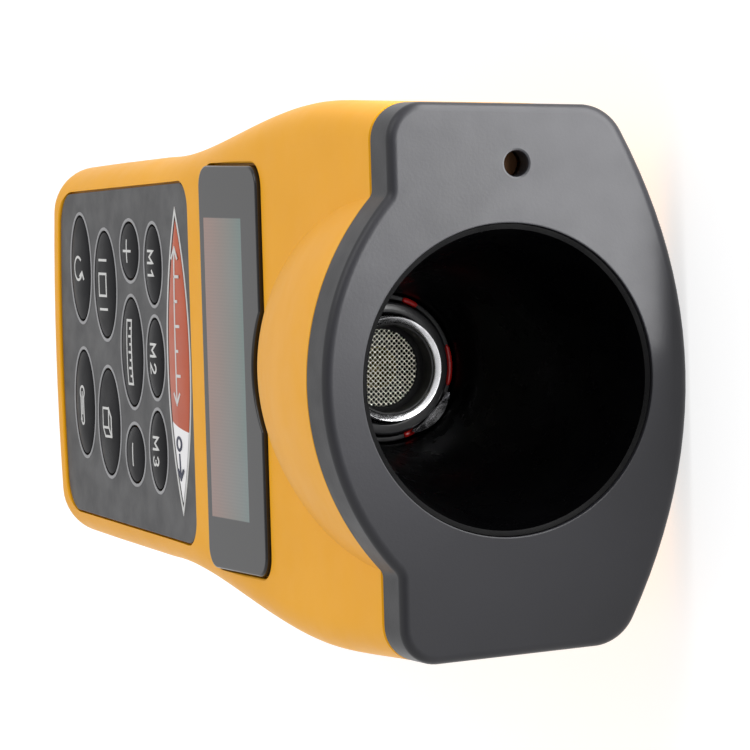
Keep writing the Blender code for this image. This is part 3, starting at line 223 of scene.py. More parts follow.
YELLOW = plastic("yellow housing", (0.94, 0.430, 0.008), (0.90, 0.405, 0.006), 0.42, 0.00045, 0.14,
                 specular=0.17, spread=0.03)
BEZEL = plastic("black bezel", (0.020, 0.020, 0.024), (0.015, 0.015, 0.018), 0.38, 0.0004, 0.20,
                specular=0.38, spread=0.04)
BLACK = plastic("black plastic", (0.02, 0.02, 0.022), (0.013, 0.013, 0.014), 0.5)
GLOSS = plastic("horn gloss", (0.0010, 0.0010, 0.0012), (0.0006, 0.0006, 0.0008), 0.30, 0.002, 0.04,
                specular=0.08)
VINYL = plastic("grey collar", (0.030, 0.030, 0.032), (0.018, 0.018, 0.020), 0.14, 0.001, 0.08,
                spread=0.04)
SEAL = plastic("red silicone", (0.62, 0.012, 0.010), (0.45, 0.008, 0.007), 0.30, 0.0006, 0.15)
OVERLAY = plastic("keypad overlay", (0.040, 0.040, 0.043), (0.032, 0.032, 0.035), 0.40, 0.0005, 0.2,
                  spread=0.07)
KEYCAP = plastic("key cap", (0.020, 0.020, 0.022), (0.013, 0.013, 0.015), 0.34, 0.0005, 0.12,
                 specular=0.05)
PRINT_GREY = plastic("ring print", (0.36, 0.36, 0.37), (0.30, 0.30, 0.31), 0.45, 0.0005, 0.1)
PRINT_WHITE = plastic("white print", (0.70, 0.70, 0.69), (0.62, 0.62, 0.61), 0.45, 0.0004, 0.1)
PRINT_DARK = plastic("dark print", (0.02, 0.025, 0.07), (0.015, 0.02, 0.05), 0.45, 0.0004, 0.1)
STEEL = metal("screw steel", (0.46, 0.46, 0.48), (0.34, 0.34, 0.36), 0.32)
CAN = metal("can rim", (0.86, 0.86, 0.88), (0.74, 0.74, 0.76), 0.20, 500)
WIRE = metal("mesh wire", (0.95, 0.93, 0.86), (0.82, 0.80, 0.70), 0.34, 2000)
CONE = metal("resonator cone", (0.16, 0.13, 0.05), (0.10, 0.08, 0.03), 0.4, 1500)
BRASS = metal("brass", (0.60, 0.38, 0.16), (0.42, 0.25, 0.10), 0.3)


def window_material():
    """Clear sheet printed black behind, with the grey display showing through its middle; the display's
    grey-green runs into a painted reddish reflection towards its tail end.
    """
    g = Graph("display window")
    x, y = g.axes()[:2]
    near, far, soft = y_at(LCD_START), y_at(LCD_END), 0.12 * MM
    inside = None
    for socket, low, high in ((x, -LCD_HALF_WIDTH, LCD_HALF_WIDTH), (y, near, far)):
        above = g.remap(socket, 0.0, 1.0, low, low + soft)
        below = g.remap(socket, 1.0, 0.0, high - soft, high)
        both = g.math("MULTIPLY", above, below)
        inside = both if inside is None else g.math("MULTIPLY", inside, both)
    # Painted reflection: the display's own grey-green at the nose end blends to a reddish tone at the tail
    # end, a reflection painted into the colour.
    across = g.remap(y, 0.0, 1.0, near, far)
    along = g.remap(g.noise(45, 2.0), 0.0, 1.0, 0.35, 0.65)
    display_and_painted_reflection = g.blend(across, (0.100, 0.175, 0.160), (0.330, 0.165, 0.120))
    display_and_painted_reflection = g.blend(g.math("MULTIPLY", along, 0.35), display_and_painted_reflection, (0.22, 0.24, 0.26))
    rows = g.math("SINE", g.math("MULTIPLY", x, 2 * pi / LCD_ROW_PITCH))
    display_and_painted_reflection = g.blend(g.remap(rows, 0.0, 0.10, -1.0, 1.0), display_and_painted_reflection, (0.08, 0.085, 0.085))
    g.set("Base Color", g.blend(inside, (0.012, 0.012, 0.014), display_and_painted_reflection))
    g.set("Roughness", g.remap(g.noise(90, 4.0), 0.05, 0.11))
    g.set("IOR", 1.5)
    g.bump(g.noise(25, 2.0), 0.05, 0.0003)
    return g.material


def measure_material():
    """Red-orange cap whose tip beyond a slanted line is white."""
    g = Graph("measure key")
    x, y = g.axes()[:2]
    from_middle = g.math("SUBTRACT", y, y_at(MEASURE_DEPTH))
    slanted = g.math("ADD", x, g.math("MULTIPLY", from_middle, MEASURE_WHITE_SLANT))
    white = g.remap(slanted, 1.0, 0.0, MEASURE_WHITE_FROM - 0.05 * MM, MEASURE_WHITE_FROM + 0.05 * MM)
    red = g.blend(g.remap(g.noise(120, 3.0), 0.0, 1.0), (0.56, 0.105, 0.038), (0.50, 0.085, 0.030))
    g.set("Base Color", g.blend(white, red, (0.95, 0.94, 0.95)))
    g.set("Roughness", g.remap(g.noise(300, 2.0), 0.32, 0.44))
    g.bump(g.noise(2000, 2.0), 0.12, 0.00005)
    return g.material


WINDOW, MEASURE = window_material(), measure_material()


def inner_materials():
    """Procedural finishes of the CAD nodes that stay as they are, by the record's slot."""
    tones = {
        "lcd_glass": ((0.16, 0.18, 0.17), (0.12, 0.14, 0.13), 0.15),
        "light_guide": ((0.75, 0.75, 0.72), (0.66, 0.66, 0.63), 0.4),
        "zebra_rubber": ((0.45, 0.28, 0.36), (0.36, 0.22, 0.30), 0.7),
        "silicone_mat": ((0.07, 0.07, 0.075), (0.05, 0.05, 0.055), 0.65),
        "circuit_board": ((0.02, 0.13, 0.05), (0.012, 0.09, 0.035), 0.35),
        "chip_black": ((0.018, 0.018, 0.02), (0.012, 0.012, 0.013), 0.5),
        "battery_wrap": ((0.03, 0.03, 0.035), (0.02, 0.02, 0.022), 0.3),
        "vinyl": ((0.03, 0.03, 0.03), (0.02, 0.02, 0.02), 0.5),
        "red_wire": ((0.55, 0.015, 0.012), (0.42, 0.01, 0.01), 0.4),
        "black_wire": ((0.02, 0.02, 0.02), (0.012, 0.012, 0.012), 0.4),
        "lens_glass": ((0.20, 0.10, 0.05), (0.12, 0.06, 0.03), 0.08),
    }
    made = {slot: plastic(f"{slot} finish", a, b, rough) for slot, (a, b, rough) in tones.items()}
    made.update(aluminium=CAN, woven_mesh=WIRE, brass=BRASS, copper_can=BRASS, screw_steel=STEEL)
    made.update(black_plastic=BLACK, gloss_black_plastic=GLOSS, red_silicone=SEAL, grey_plastic=VINYL)
    made.update(yellow_plastic=YELLOW, window=WINDOW, key_black=KEYCAP, key_red=MEASURE)
    return made


INNER = inner_materials()
SLOT_OF = {entry["node"]: entry["material_slot"] for entry in frame["record"]["subparts"]}
for node_name, cad_object in frame["nodes"].items():
    finish = INNER[SLOT_OF[node_name]]
    if not cad_object.material_slots:
        cad_object.data.materials.append(finish)
    for material_slot in cad_object.material_slots:
        material_slot.material = finish


# --- mesh helpers


def new_object(name, bm, finish=None, sharp=24):
    """An object made of the bmesh, smooth but for edges sharper than the angle."""
    bmesh.ops.recalc_face_normals(bm, faces=bm.faces)
    mesh = bpy.data.meshes.new(name)
    bm.to_mesh(mesh)
    bm.free()
    mesh.shade_smooth()
    mesh.set_sharp_from_angle(angle=radians(sharp))
    obj = bpy.data.objects.new(name, mesh)
    bpy.context.scene.collection.objects.link(obj)
    if finish:
        mesh.materials.append(finish)
    return obj


def skin(bm, rings, closed=False):
    """Faces from each ring to the next, and from the last back to the first if closed."""
    loops = [[bm.verts.new(point) for point in ring] for ring in rings]
    following = loops[1:] + loops[:1] if closed else loops[1:]
    for near, far in zip(loops, following):
        for i, vertex in enumerate(near):
            bm.faces.new((vertex, near[i - 1], far[i - 1], far[i]))
    return loops


def loft(name, rings, finish=None, fan=True, sharp=24):
    """A closed skin over a row of rings, its ends capped by a fan or by one face."""
    bm = bmesh.new()
    loops = skin(bm, rings)
    for loop in (loops[0], loops[-1]):
        if not fan:
            bm.faces.new(loop)
            continue
        middle = bm.verts.new([sum(v.co[k] for v in loop) / len(loop) for k in range(3)])
        for i, vertex in enumerate(loop):
            bm.faces.new((middle, loop[i - 1], vertex))
    return new_object(name, bm, finish, sharp)


def turned(name, profile, x=0.0, height=0.0, finish=None, steps=128, sharp=24):
    """A closed profile of (radius, depth) turned round an axis along Y."""
    bm = bmesh.new()
    turn = 2 * pi / steps
    loops = []
    for i in range(steps):
        c, s = cos(turn * (i + 0.5)), sin(turn * (i + 0.5))
        loops.append([bm.verts.new((x + r * c, y_at(d), z_at(height) + r * s)) for r, d in profile])
    for i, loop in enumerate(loops):
        before = loops[i - 1]
        for k, vertex in enumerate(loop):
            if max(profile[k][0], profile[k - 1][0]) > 0:
                bm.faces.new((vertex, loop[k - 1], before[k - 1], before[k]))
    bmesh.ops.remove_doubles(bm, verts=bm.verts, dist=1e-7)
    return new_object(name, bm, finish, sharp)


def prisms(name, parts):
    """Cutter prisms: (outline of x, y, low, high)."""
    bm = bmesh.new()
    for outline, low, high in parts:
        for loop in skin(bm, [[(x, y, z) for x, y in outline] for z in (low, high)]):
            bm.faces.new(loop)
    return new_object(name, bm)


def stacked(name, outline_at, levels, finish=None, sharp=24):
    """Outlines of growing or shrinking size stacked along Z: (grow, z) of each level."""
    rings = [[(x, y, z) for x, y in outline_at(grow)] for grow, z in levels]
    return loft(name, rings, finish, sharp=sharp)


def quarter_turn(steps):
    """Angles of a quarter turn, both ends included."""
    return [pi / 2 * i / steps for i in range(steps + 1)]


def apply_all(obj, sharp=18):
    """Applies the modifiers, cleans what the Booleans left and marks the edges that stay sharp."""
    graph = bpy.context.evaluated_depsgraph_get()
    graph.update()
    mesh = bpy.data.meshes.new_from_object(obj.evaluated_get(graph))
    obj.modifiers.clear()
    obj.data = mesh
    bm = bmesh.new()
    bm.from_mesh(mesh)
    bmesh.ops.remove_doubles(bm, verts=bm.verts, dist=2e-6)
    bmesh.ops.dissolve_degenerate(bm, edges=bm.edges, dist=1e-6)
    bm.to_mesh(mesh)
    bm.free()
    mesh.shade_smooth()
    mesh.set_sharp_from_angle(angle=radians(sharp))
    return obj


def boolean(obj, operation, other):
    modifier = obj.modifiers.new(operation.lower(), "BOOLEAN")
    modifier.operation, modifier.object, modifier.solver = operation, other, "EXACT"
    apply_all(obj)
    bpy.data.objects.remove(other, do_unlink=True)


def cut(obj, cutter):
    boolean(obj, "DIFFERENCE", cutter)


def join(obj, other):
    boolean(obj, "UNION", other)


def keep_inside(obj, limit):
    boolean(obj, "INTERSECT", limit)


def weighted(obj):
    """Normals that follow the large faces, so that flats stay flat beside small rounds."""
    modifier = obj.modifiers.new("weighted", "WEIGHTED_NORMAL")
    modifier.keep_sharp = True
    return obj


def place(obj, body, *nodes, slot=None):
    """Puts a piece on a body of the frame, in place of the nodes it replaces."""
    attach(obj, body)
    if nodes:
        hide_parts(*nodes)
    return obj


def circle(x, y, radius, steps=48):
    angles = [2 * pi / steps * (i + 0.5) for i in range(steps)]
    return [(x + radius * cos(a), y + radius * sin(a)) for a in angles]


def rounded(corners, steps=10):
    """A convex outline with each corner (x, y, radius) rounded."""
    outline = []
    for i, (x, y, radius) in enumerate(corners):
        unit = []
        for other in (corners[i - 1], corners[(i + 1) % len(corners)]):
            dx, dy = other[0] - x, other[1] - y
            length = hypot(dx, dy)
            unit.append((dx / length, dy / length))
        (ax, ay), (bx, by) = unit
        half = acos(max(-1.0, min(1.0, ax * bx + ay * by))) / 2
        mx, my = ax + bx, ay + by
        scale = radius / sin(half) / hypot(mx, my)
        cx, cy, run = x + mx * scale, y + my * scale, radius / tan(half)
        start = atan2(y + ay * run - cy, x + ax * run - cx)
        end = atan2(y + by * run - cy, x + bx * run - cx)
        sweep = (end - start + pi) % (2 * pi) - pi
        for step in range(steps + 1):
            angle = start + sweep * step / steps
            outline.append((cx + radius * cos(angle), cy + radius * sin(angle)))
    return outline


# --- body shape


def half_width(depth):
    """Half the body's width: the head, the waist and the tapered handle."""
    handle = HANDLE_HALF_WIDTH - HANDLE_TAPER * clamp01((depth - WAIST_END) / (LENGTH - WAIST_END))
    waist = mix(HEAD_HALF_WIDTH, handle, smooth(depth, WAIST_START, WAIST_END))
    return waist - (HEAD_HALF_WIDTH - NOSE_HALF_WIDTH) * (1 - smooth(depth, 0, WAIST_START))


def quarter(radius, beyond):
    """How far a round of a radius has fallen back at a distance beyond its start."""
    return radius - sqrt(max(0.0, radius**2 - max(0.0, beyond) ** 2))


def section(depth, inset=0.0, steps=12):
    """Half the body's outline at a depth, from the top centre to the bottom centre."""
    back = smooth(depth, BACK_RISE_START, BACK_RISE_END)
    tail = LENGTH - inset
    width = half_width(depth) - inset
    width -= quarter(TAIL_CORNER - inset, depth - (tail - (TAIL_CORNER - inset)))
    rise = quarter(TAIL_EDGE - inset, depth - (tail - (TAIL_EDGE - inset)))
    top = FACE - inset - rise
    bottom = mix(-HEAD_BACK, -HANDLE_BACK, back) + inset + rise
    crown = mix(HEAD_CROWN, 0.0, back)
    edge = mix(EDGE_FRONT, EDGE_HANDLE, smooth(depth, WAIST_START, WAIST_END)) - inset
    heel = mix(HEEL_FRONT, HEEL_HANDLE, back) - inset
    edge_x = width - edge
    bend = [(edge_x + edge * sin(a), top - edge + edge * cos(a)) for a in quarter_turn(steps)]
    flat = [(edge_x * i / 4, top) for i in range(4)]
    return [*flat, *bend, *heel_and_crown(width - SIDE_DRAFT, bottom, crown, heel, steps)]


def heel_and_crown(width, bottom, crown, radius, steps):
    """The round below the side wall, then the bowed back in to the middle."""
    slope = atan(2 * crown * (width - radius * 0.7) / width**2)
    meet = width - radius + radius * sin(slope)
    centre = bottom + crown * (meet / width) ** 2 + radius * cos(slope)
    sweep = pi / 2 - slope
    points = []
    for i in range(steps + 1):
        a = sweep * i / steps
        points.append((width - radius + radius * cos(a), centre - radius * sin(a)))
    for i in range(1, steps + 1):
        x = meet * (1 - i / steps)
        points.append((x, bottom + crown * (x / width) ** 2))
    return points


def both_sides(half):
    return half + [(-x, h) for x, h in reversed(half[1:-1])]


def bow(x, depth):
    """A depth moved back towards the nose away from the middle, so that the tail is bowed."""
    share = smooth(depth, LENGTH - 4 * TAIL_CORNER, LENGTH)
    return depth - TAIL_BOW * share * (x / HANDLE_HALF_WIDTH) ** 2


def body_depths(inset, start):
    middle = [mix(start, LENGTH - 8 * MM, i / 54) for i in range(55)]
    radius = TAIL_CORNER - inset
    bend = LENGTH - inset - radius
    return middle[:-1] + [bend + radius * sin(a) for a in quarter_turn(14)]


def body_rings(inset, start):
    rings = []
    for depth in body_depths(inset, start):
        rings.append([(x, y_at(bow(x, depth)), z_at(h)) for x, h in both_sides(section(depth, inset))])
    return rings


def shell(name, finish=None):
    """The whole body as a closed skin of the wall's thickness, open at the nose."""
    start = RIM_DEPTH + GAP
    lip = [(x, y_at(start), z_at(h)) for x, h in both_sides(section(start, 0.25 * MM))]
    return loft(name, body_rings(WALL, start)[::-1] + [lip] + body_rings(0.0, start + 0.2 * MM), finish)


def dome_radius(depth):
    """The dome's radius about its axis, which shrinks along a circular arc."""
    return DOME_RADIUS - (DOME_PROFILE - sqrt(DOME_PROFILE**2 - depth**2))


def dome_edge_depth(x, clear=0.0):
    drop = DOME_RADIUS - hypot(x, FACE - DOME_AXIS)
    return sqrt(DOME_PROFILE**2 - (DOME_PROFILE - drop) ** 2) + clear


def dome_half_width_at(depth):
    return sqrt(dome_radius(depth) ** 2 - (FACE - DOME_AXIS) ** 2)


def dome(name, inset, start, base, steps=44, arc_steps=60):
    rings = []
    depths = [start] + [mix(start + 0.2 * MM, DOME_REACH + 1.2 * MM, i / steps) for i in range(steps + 1)]
    for i, depth in enumerate(depths):
        radius = dome_radius(max(0.0, depth)) - inset - (0.25 * MM if i == 0 and inset == 0 else 0.0)
        half_angle = acos((base - DOME_AXIS) / radius)
        ring = []
        for k in range(arc_steps + 1):
            angle = mix(-half_angle, half_angle, k / arc_steps)
            ring.append((radius * sin(angle), y_at(depth), z_at(DOME_AXIS + radius * cos(angle))))
        rings.append(ring)
    return loft(name, rings)


def nose_outline(inset=0.0):
    """The nose seen from in front: the dome's arc, the kinks and the body's outline below."""
    reach = DOME_RADIUS + NOSE_KINK
    kink_height = FACE + NOSE_KINK
    kink_x = sqrt(reach**2 - (kink_height - DOME_AXIS) ** 2)
    kink_angle = atan2(kink_x, kink_height - DOME_AXIS)
    half = []
    radius = DOME_RADIUS - inset
    for i in range(41):
        angle = kink_angle * i / 40
        half.append((radius * sin(angle), DOME_AXIS + radius * cos(angle)))
    for i in range(1, 11):
        angle = mix(kink_angle, 0.0, i / 10)
        r = NOSE_KINK + inset
        half.append((kink_x - r * sin(angle), kink_height - r * cos(angle)))
    return both_sides(half + section(RIM_DEPTH, inset)[4:])


def window_outline(grow):
    """A rounded rectangle with a bite that clears the dome."""
    half, near, far = WINDOW_HALF_WIDTH + grow, WINDOW_START - grow, WINDOW_END + grow
    radius = WINDOW_CORNER + grow
    corners = [(half, near), (half, far), (-half, far), (-half, near)]
    plain = rounded([(x, y_at(d), radius) for x, d in corners])
    clear = WINDOW_BITE_CLEAR - grow
    reach = dome_half_width_at(near - clear)
    steps = 26
    across = [mix(-reach, reach, i / steps) for i in range(steps + 1)]
    return plain + [(x, y_at(dome_edge_depth(x, clear))) for x in across]


def keypad_outline(inset=0.0):
    """The keypad's rounded trapezium, its tail edge bowed like the body's."""
    near, far = KEYPAD_START + inset, KEYPAD_END - inset
    wide, narrow = KEYPAD_NEAR_HALF_WIDTH - inset, KEYPAD_FAR_HALF_WIDTH - inset
    corners = [(wide, near, KEYPAD_CORNER), (narrow, far, KEYPAD_CORNER * 1.3)]
    corners += [(-narrow, far, KEYPAD_CORNER * 1.3), (-wide, near, KEYPAD_CORNER)]
    plain = rounded([(x, d, radius - inset) for x, d, radius in corners])
    outline = []
    for i, (x, depth) in enumerate(plain):
        before = plain[i - 1]
        if depth > far - 1e-6 and before[1] > far - 1e-6 and abs(x - before[0]) > narrow:
            outline += [(mix(before[0], x, s / 20), far) for s in range(1, 20)]
        outline.append((x, depth))
    return [(x, y_at(bow(x, depth))) for x, depth in outline]


def key_outline(name, grow=0.0, share=1.0, steps=72):
    """An oval key, or the almond of the measure key, grown by a margin and then scaled."""
    x, depth, half_x, half_y = (v * MM for v in KEYS[name])
    y = y_at(depth)
    if name != "key_measure":
        turn = 2 * pi / steps
        a, b = (half_x + grow) * share, (half_y + grow) * share
        return [(x + a * cos(turn * (i + 0.5)), y + b * sin(turn * (i + 0.5))) for i in range(steps)]
    half_x = (half_x + grow * hypot(half_x, 2 * half_y) / (2 * half_y)) * share
    half_y = (half_y + grow) * share
    radius = (half_x**2 + half_y**2) / (2 * half_y)
    sweep = asin((half_x - MEASURE_TIP * share) / radius)
    side = []
    for i in range(33):
        angle = mix(-sweep, sweep, i / 32)
        side.append((x + radius * sin(angle), y + radius * cos(angle) - (radius - half_y)))
    return side + [(x + half_x, y)] + [(px, 2 * y - py) for px, py in reversed(side)] + [(x - half_x, y)]


# --- housings


def slab(name, low, high):
    """A cutter that takes off everything between two heights."""
    span = LENGTH
    square = [(-span, -span), (span, -span), (span, span), (-span, span)]
    return prisms(name, [(square, z_at(low), z_at(high))])


def wall_x(depth, height):
    """How far out the side wall is at a height, where it is the straight run between the two rounds."""
    points = section(depth)
    for (x0, h0), (x1, h1) in zip(points, points[1:]):
        if h0 >= height >= h1 and h0 > h1:
            return mix(x0, x1, (h0 - height) / (h0 - h1))
    return points[0][0]


def parting_groove():
    """A shallow V all round, where the two housings' edges are eased."""
    start = RIM_DEPTH - 1.0 * MM
    side = [(wall_x(max(d, RIM_DEPTH), PARTING), d) for d in [start, *body_depths(0.0, RIM_DEPTH + GAP)]]
    across = [(side[-1][0] * (1 - i / 8), LENGTH) for i in range(1, 17)]
    path = side + across[:-1] + [(-x, d) for x, d in reversed(side)]
    places = [Vector((x, y_at(bow(x, d)))) for x, d in path]
    rings = []
    for i, here in enumerate(places):
        along = (places[min(i + 1, len(places) - 1)] - places[max(i - 1, 0)]).normalized()
        out = Vector((along.y, -along.x))
        if out.dot(Vector((here.x, here.y * 0.2))) < 0:
            out.negate()
        ring = []
        for reach, height in ((0.5, 0.72), (0.5, -0.72), (-0.22, 0.0)):
            point = here + out * reach * MM
            ring.append((point.x, point.y, z_at(PARTING + height * MM)))
        rings.append(ring)
    return loft("parting_groove", rings, fan=False)


def pocket_levels(floor, wall_top, ease_top, ease):
    """Levels of a pocket in the face: a straight wall, then a small ease up to the face."""
    levels = [(GAP, z_at(floor)), (GAP, z_at(FACE - wall_top)), (GAP + ease, z_at(FACE - ease_top))]
    return levels + [(GAP + 0.3 * MM, z_at(FACE + 0.02 * MM)), (GAP + 0.3 * MM, z_at(FACE + 0.1 * MM))]


def upper_housing():
    """Keypad side of the body with the dome, and pockets for the window, the overlay and the keys."""
    upper = shell("housing_upper", YELLOW)
    join(upper, dome("dome_outside", 0.0, RIM_DEPTH + GAP, FACE - WALL / 2))
    cut(upper, dome("dome_inside", WALL, 0.0, FACE - 2 * WALL, 10, 20))
    cut(upper, slab("below", -LENGTH, PARTING + GAP / 2))
    cut(upper, parting_groove())
    levels = pocket_levels(FACE - 1.4 * MM, 0.35 * MM, 0.14 * MM, 0.07 * MM)
    cut(upper, stacked("window_pocket", window_outline, levels))
    levels = pocket_levels(OVERLAY_TOP - 0.9 * MM, 0.25 * MM, 0.1 * MM, 0.08 * MM)
    cut(upper, stacked("keypad_pocket", lambda grow: keypad_outline(-grow), levels))
    cut(upper, prisms("key_wells", [
        (key_outline(name, GAP - KEY_RING), z_at(FACE - 4 * MM), z_at(FACE)) for name in KEYS]))
    place(weighted(upper), "housing", "upper_housing", slot="yellow_plastic")


def door_outline(clear):
    """The battery door seen from below, wider where it turns up at the tail."""
    side, end = DOOR_HALF_WIDTH + clear, LENGTH + WALL
    lip = side + DOOR_LIP
    start, tail = DOOR_START - clear, LENGTH - DOOR_TAIL - clear
    outline = [(-side, start), (side, start), (side, tail), (lip, tail)]
    outline += [(lip, end), (-lip, end), (-lip, tail), (-side, tail)]
    return [(x, y_at(d)) for x, d in outline]


def door_cutter(name, clear):
    return prisms(name, [(door_outline(clear), z_at(-HEAD_BACK - WALL), z_at(-DOOR_END_HEIGHT + clear))])


def lower_housing():
    """Back of the body with the screw posts and the door's opening, and the tongue that fills the seam."""
    lower = shell("housing_lower", YELLOW)
    posts = [(circle(x * MM, y_at(d * MM), 3.9 * MM), z_at(-2 * HEAD_BACK), z_at(PARTING)) for x, d in SCREWS]
    posts = prisms("posts", posts)
    keep_inside(posts, loft("post_limit", body_rings(WALL / 3, 0.0)))
    join(lower, posts)
    cut(lower, slab("above", PARTING - GAP / 2, LENGTH))
    cut(lower, parting_groove())
    for x, d in SCREWS:
        for radius, top in ((1.5 * MM, WALL), (2.9 * MM, SCREW_SEAT + GAP)):
            outline = circle(x * MM, y_at(d * MM), radius)
            cut(lower, prisms("hole", [(outline, z_at(-2 * HEAD_BACK), z_at(top))]))
    cut(lower, door_cutter("door_opening", GAP))
    place(weighted(lower), "housing", "lower_housing", slot="yellow_plastic")
    start = RIM_DEPTH + 4 * GAP
    liner = loft("housing_tongue", body_rings(1.6 * MM, start)[::-1] + body_rings(0.8 * MM, start), YELLOW)
    cut(liner, slab("tongue_top", PARTING + 1.2 * MM, LENGTH))
    cut(liner, slab("tongue_bottom", -LENGTH, PARTING - 1.2 * MM))
    place(liner, "housing", slot="yellow_plastic")


def battery_door():
    """The sliding door with its two tongues and its grip ribs."""
    door = shell("door", YELLOW)
    keep_inside(door, door_cutter("door_piece", 0.0))
    inside = z_at(-HANDLE_BACK + WALL)
    ends = y_at(DOOR_START + WALL), y_at(LENGTH - DOOR_TAIL - 2 * WALL)
    for side in (-1, 1):
        foot, root = DOOR_HALF_WIDTH - DOOR_LIP, DOOR_HALF_WIDTH - GAP
        tip = DOOR_HALF_WIDTH + DOOR_LIP - GAP
        low, under, top = inside - WALL / 2, inside + GAP, inside + 1.5 * MM
        profile = [(foot, low), (root, low), (root, under), (tip, under), (tip, top), (foot, top)]
        tongue = loft("tongue", [[(side * x, y, z) for x, z in profile] for y in ends], fan=False)
        join(door, tongue)
    for i in range(RIB_COUNT):
        join(door, door_rib(DOOR_START + RIB_FIRST + RIB_PITCH * i))
    place(weighted(door), "door", "battery_door", slot="yellow_plastic")


def door_rib(depth):
    """One grip rib: a low rounded bar."""
    half, wide, high, root = DOOR_HALF_WIDTH / 2, 1.1 * MM, 0.35 * MM, 0.6 * MM
    bottom = z_at(-HANDLE_BACK)
    rings = []
    for i in range(17):
        t = mix(-1, 1, i / 16)
        bulge = sqrt(max(0.0, 1 - abs(t) ** 8))
        ring = []
        for k in range(9):
            a = pi * k / 8
            y = y_at(depth + wide / 2) - wide / 2 * cos(a)
            ring.append((half * t, y, bottom - high * sin(a) * bulge))
        ring += [(half * t, y_at(depth + wide), bottom + root), (half * t, y_at(depth), bottom + root)]
        rings.append(ring)
    return loft("rib", rings, fan=False)


# --- nose, horn, transducer


def bezel_hole(radius, ease, middle):
    """Profile of a round hole through the nose plate, its edge eased through a middle point."""
    front = [(0.0, -2 * MM), (radius + ease, -2 * MM), (radius + ease, 0.0)]
    return front + [(radius + middle, middle), (radius, ease), (radius, RIM_DEPTH), (0.0, RIM_DEPTH)]


def front_bezel():
    """The black nose plate with its rolled rim, the horn's mouth and the laser's hole."""
    spigot = WALL + 2.6 * GAP
    steps = [(RIM_FILLET * (1 - sin(a)), RIM_FILLET * (1 - cos(a))) for a in quarter_turn(10)]
    steps += [(0.0, RIM_DEPTH - 0.25 * MM), (0.08 * MM, RIM_DEPTH - 0.07 * MM), (0.25 * MM, RIM_DEPTH)]
    steps += [(spigot, RIM_DEPTH), (spigot, RIM_DEPTH + 3 * MM), (spigot + 1.0 * MM, RIM_DEPTH + 3 * MM)]
    steps += [(spigot + 1.0 * MM, NOSE_PLATE)]
    rings = [[(x, y_at(depth), z_at(h)) for x, h in nose_outline(inset)] for inset, depth in steps]
    bezel = loft("nose_bezel", rings, BEZEL)
    mouth = bezel_hole(HORN_MOUTH_RADIUS, 0.16 * MM, 0.04 * MM)
    cut(bezel, turned("mouth", mouth, steps=160))
    small = bezel_hole(LASER_HOLE_RADIUS, 0.3 * MM, 0.08 * MM)
    cut(bezel, turned("laser_mouth", small, LASER_X, LASER_Z, steps=64))
    place(weighted(bezel), "housing", "front_bezel", slot="black_plastic")


def horn_radius(depth):
    lip = HORN_MOUTH_RADIUS - GAP - 0.8 * MM
    t = clamp01(depth / THROAT_START)
    return THROAT_RADIUS + (lip - THROAT_RADIUS) * (1 - t) ** 1.1


def horn():
    """The glossy cone from the nose plate to the throat, with the ledge behind the transducer."""
    start = GAP + 0.4 * MM
    depths = [start + (THROAT_START - start) * i / 40 for i in range(41)]
    mouth = HORN_MOUTH_RADIUS - GAP * 0.4
    inside = [(mouth, 0.55 * MM), (mouth - 0.25 * MM, 0.6 * MM)]
    inside += [(horn_radius(d) + 0.5 * MM * (1 - d / THROAT_START), d) for d in depths]
    inside += [(THROAT_RADIUS, CAN_END + GAP), (CAN_RADIUS - CAN_WALL, CAN_END + GAP)]
    inside += [(CAN_RADIUS - CAN_WALL, CAN_END + 1.5 * MM), (THROAT_RADIUS + 1.2 * MM, CAN_END + 1.5 * MM)]
    outside = [(horn_radius(d) + 1.2 * MM, d) for d in reversed(depths[4:])]
    flange = HORN_MOUTH_RADIUS + 0.45 * MM
    outside += [(flange, 4.1 * MM), (flange, 2.9 * MM), (mouth, 2.9 * MM)]
    place(turned("horn_cone", inside + outside, finish=GLOSS), "housing", "horn", slot="gloss_black_plastic")


def ring_profile(inner, outer, front, back, edge):
    """A sleeve with both front edges rounded."""
    turn = quarter_turn(6)
    outside = [(outer - edge + edge * sin(a), front + edge - edge * cos(a)) for a in turn]
    inside = [(inner + edge - edge * cos(a), front + edge - edge * sin(a)) for a in turn]
    return [*outside, (outer, back), (inner, back), *inside]


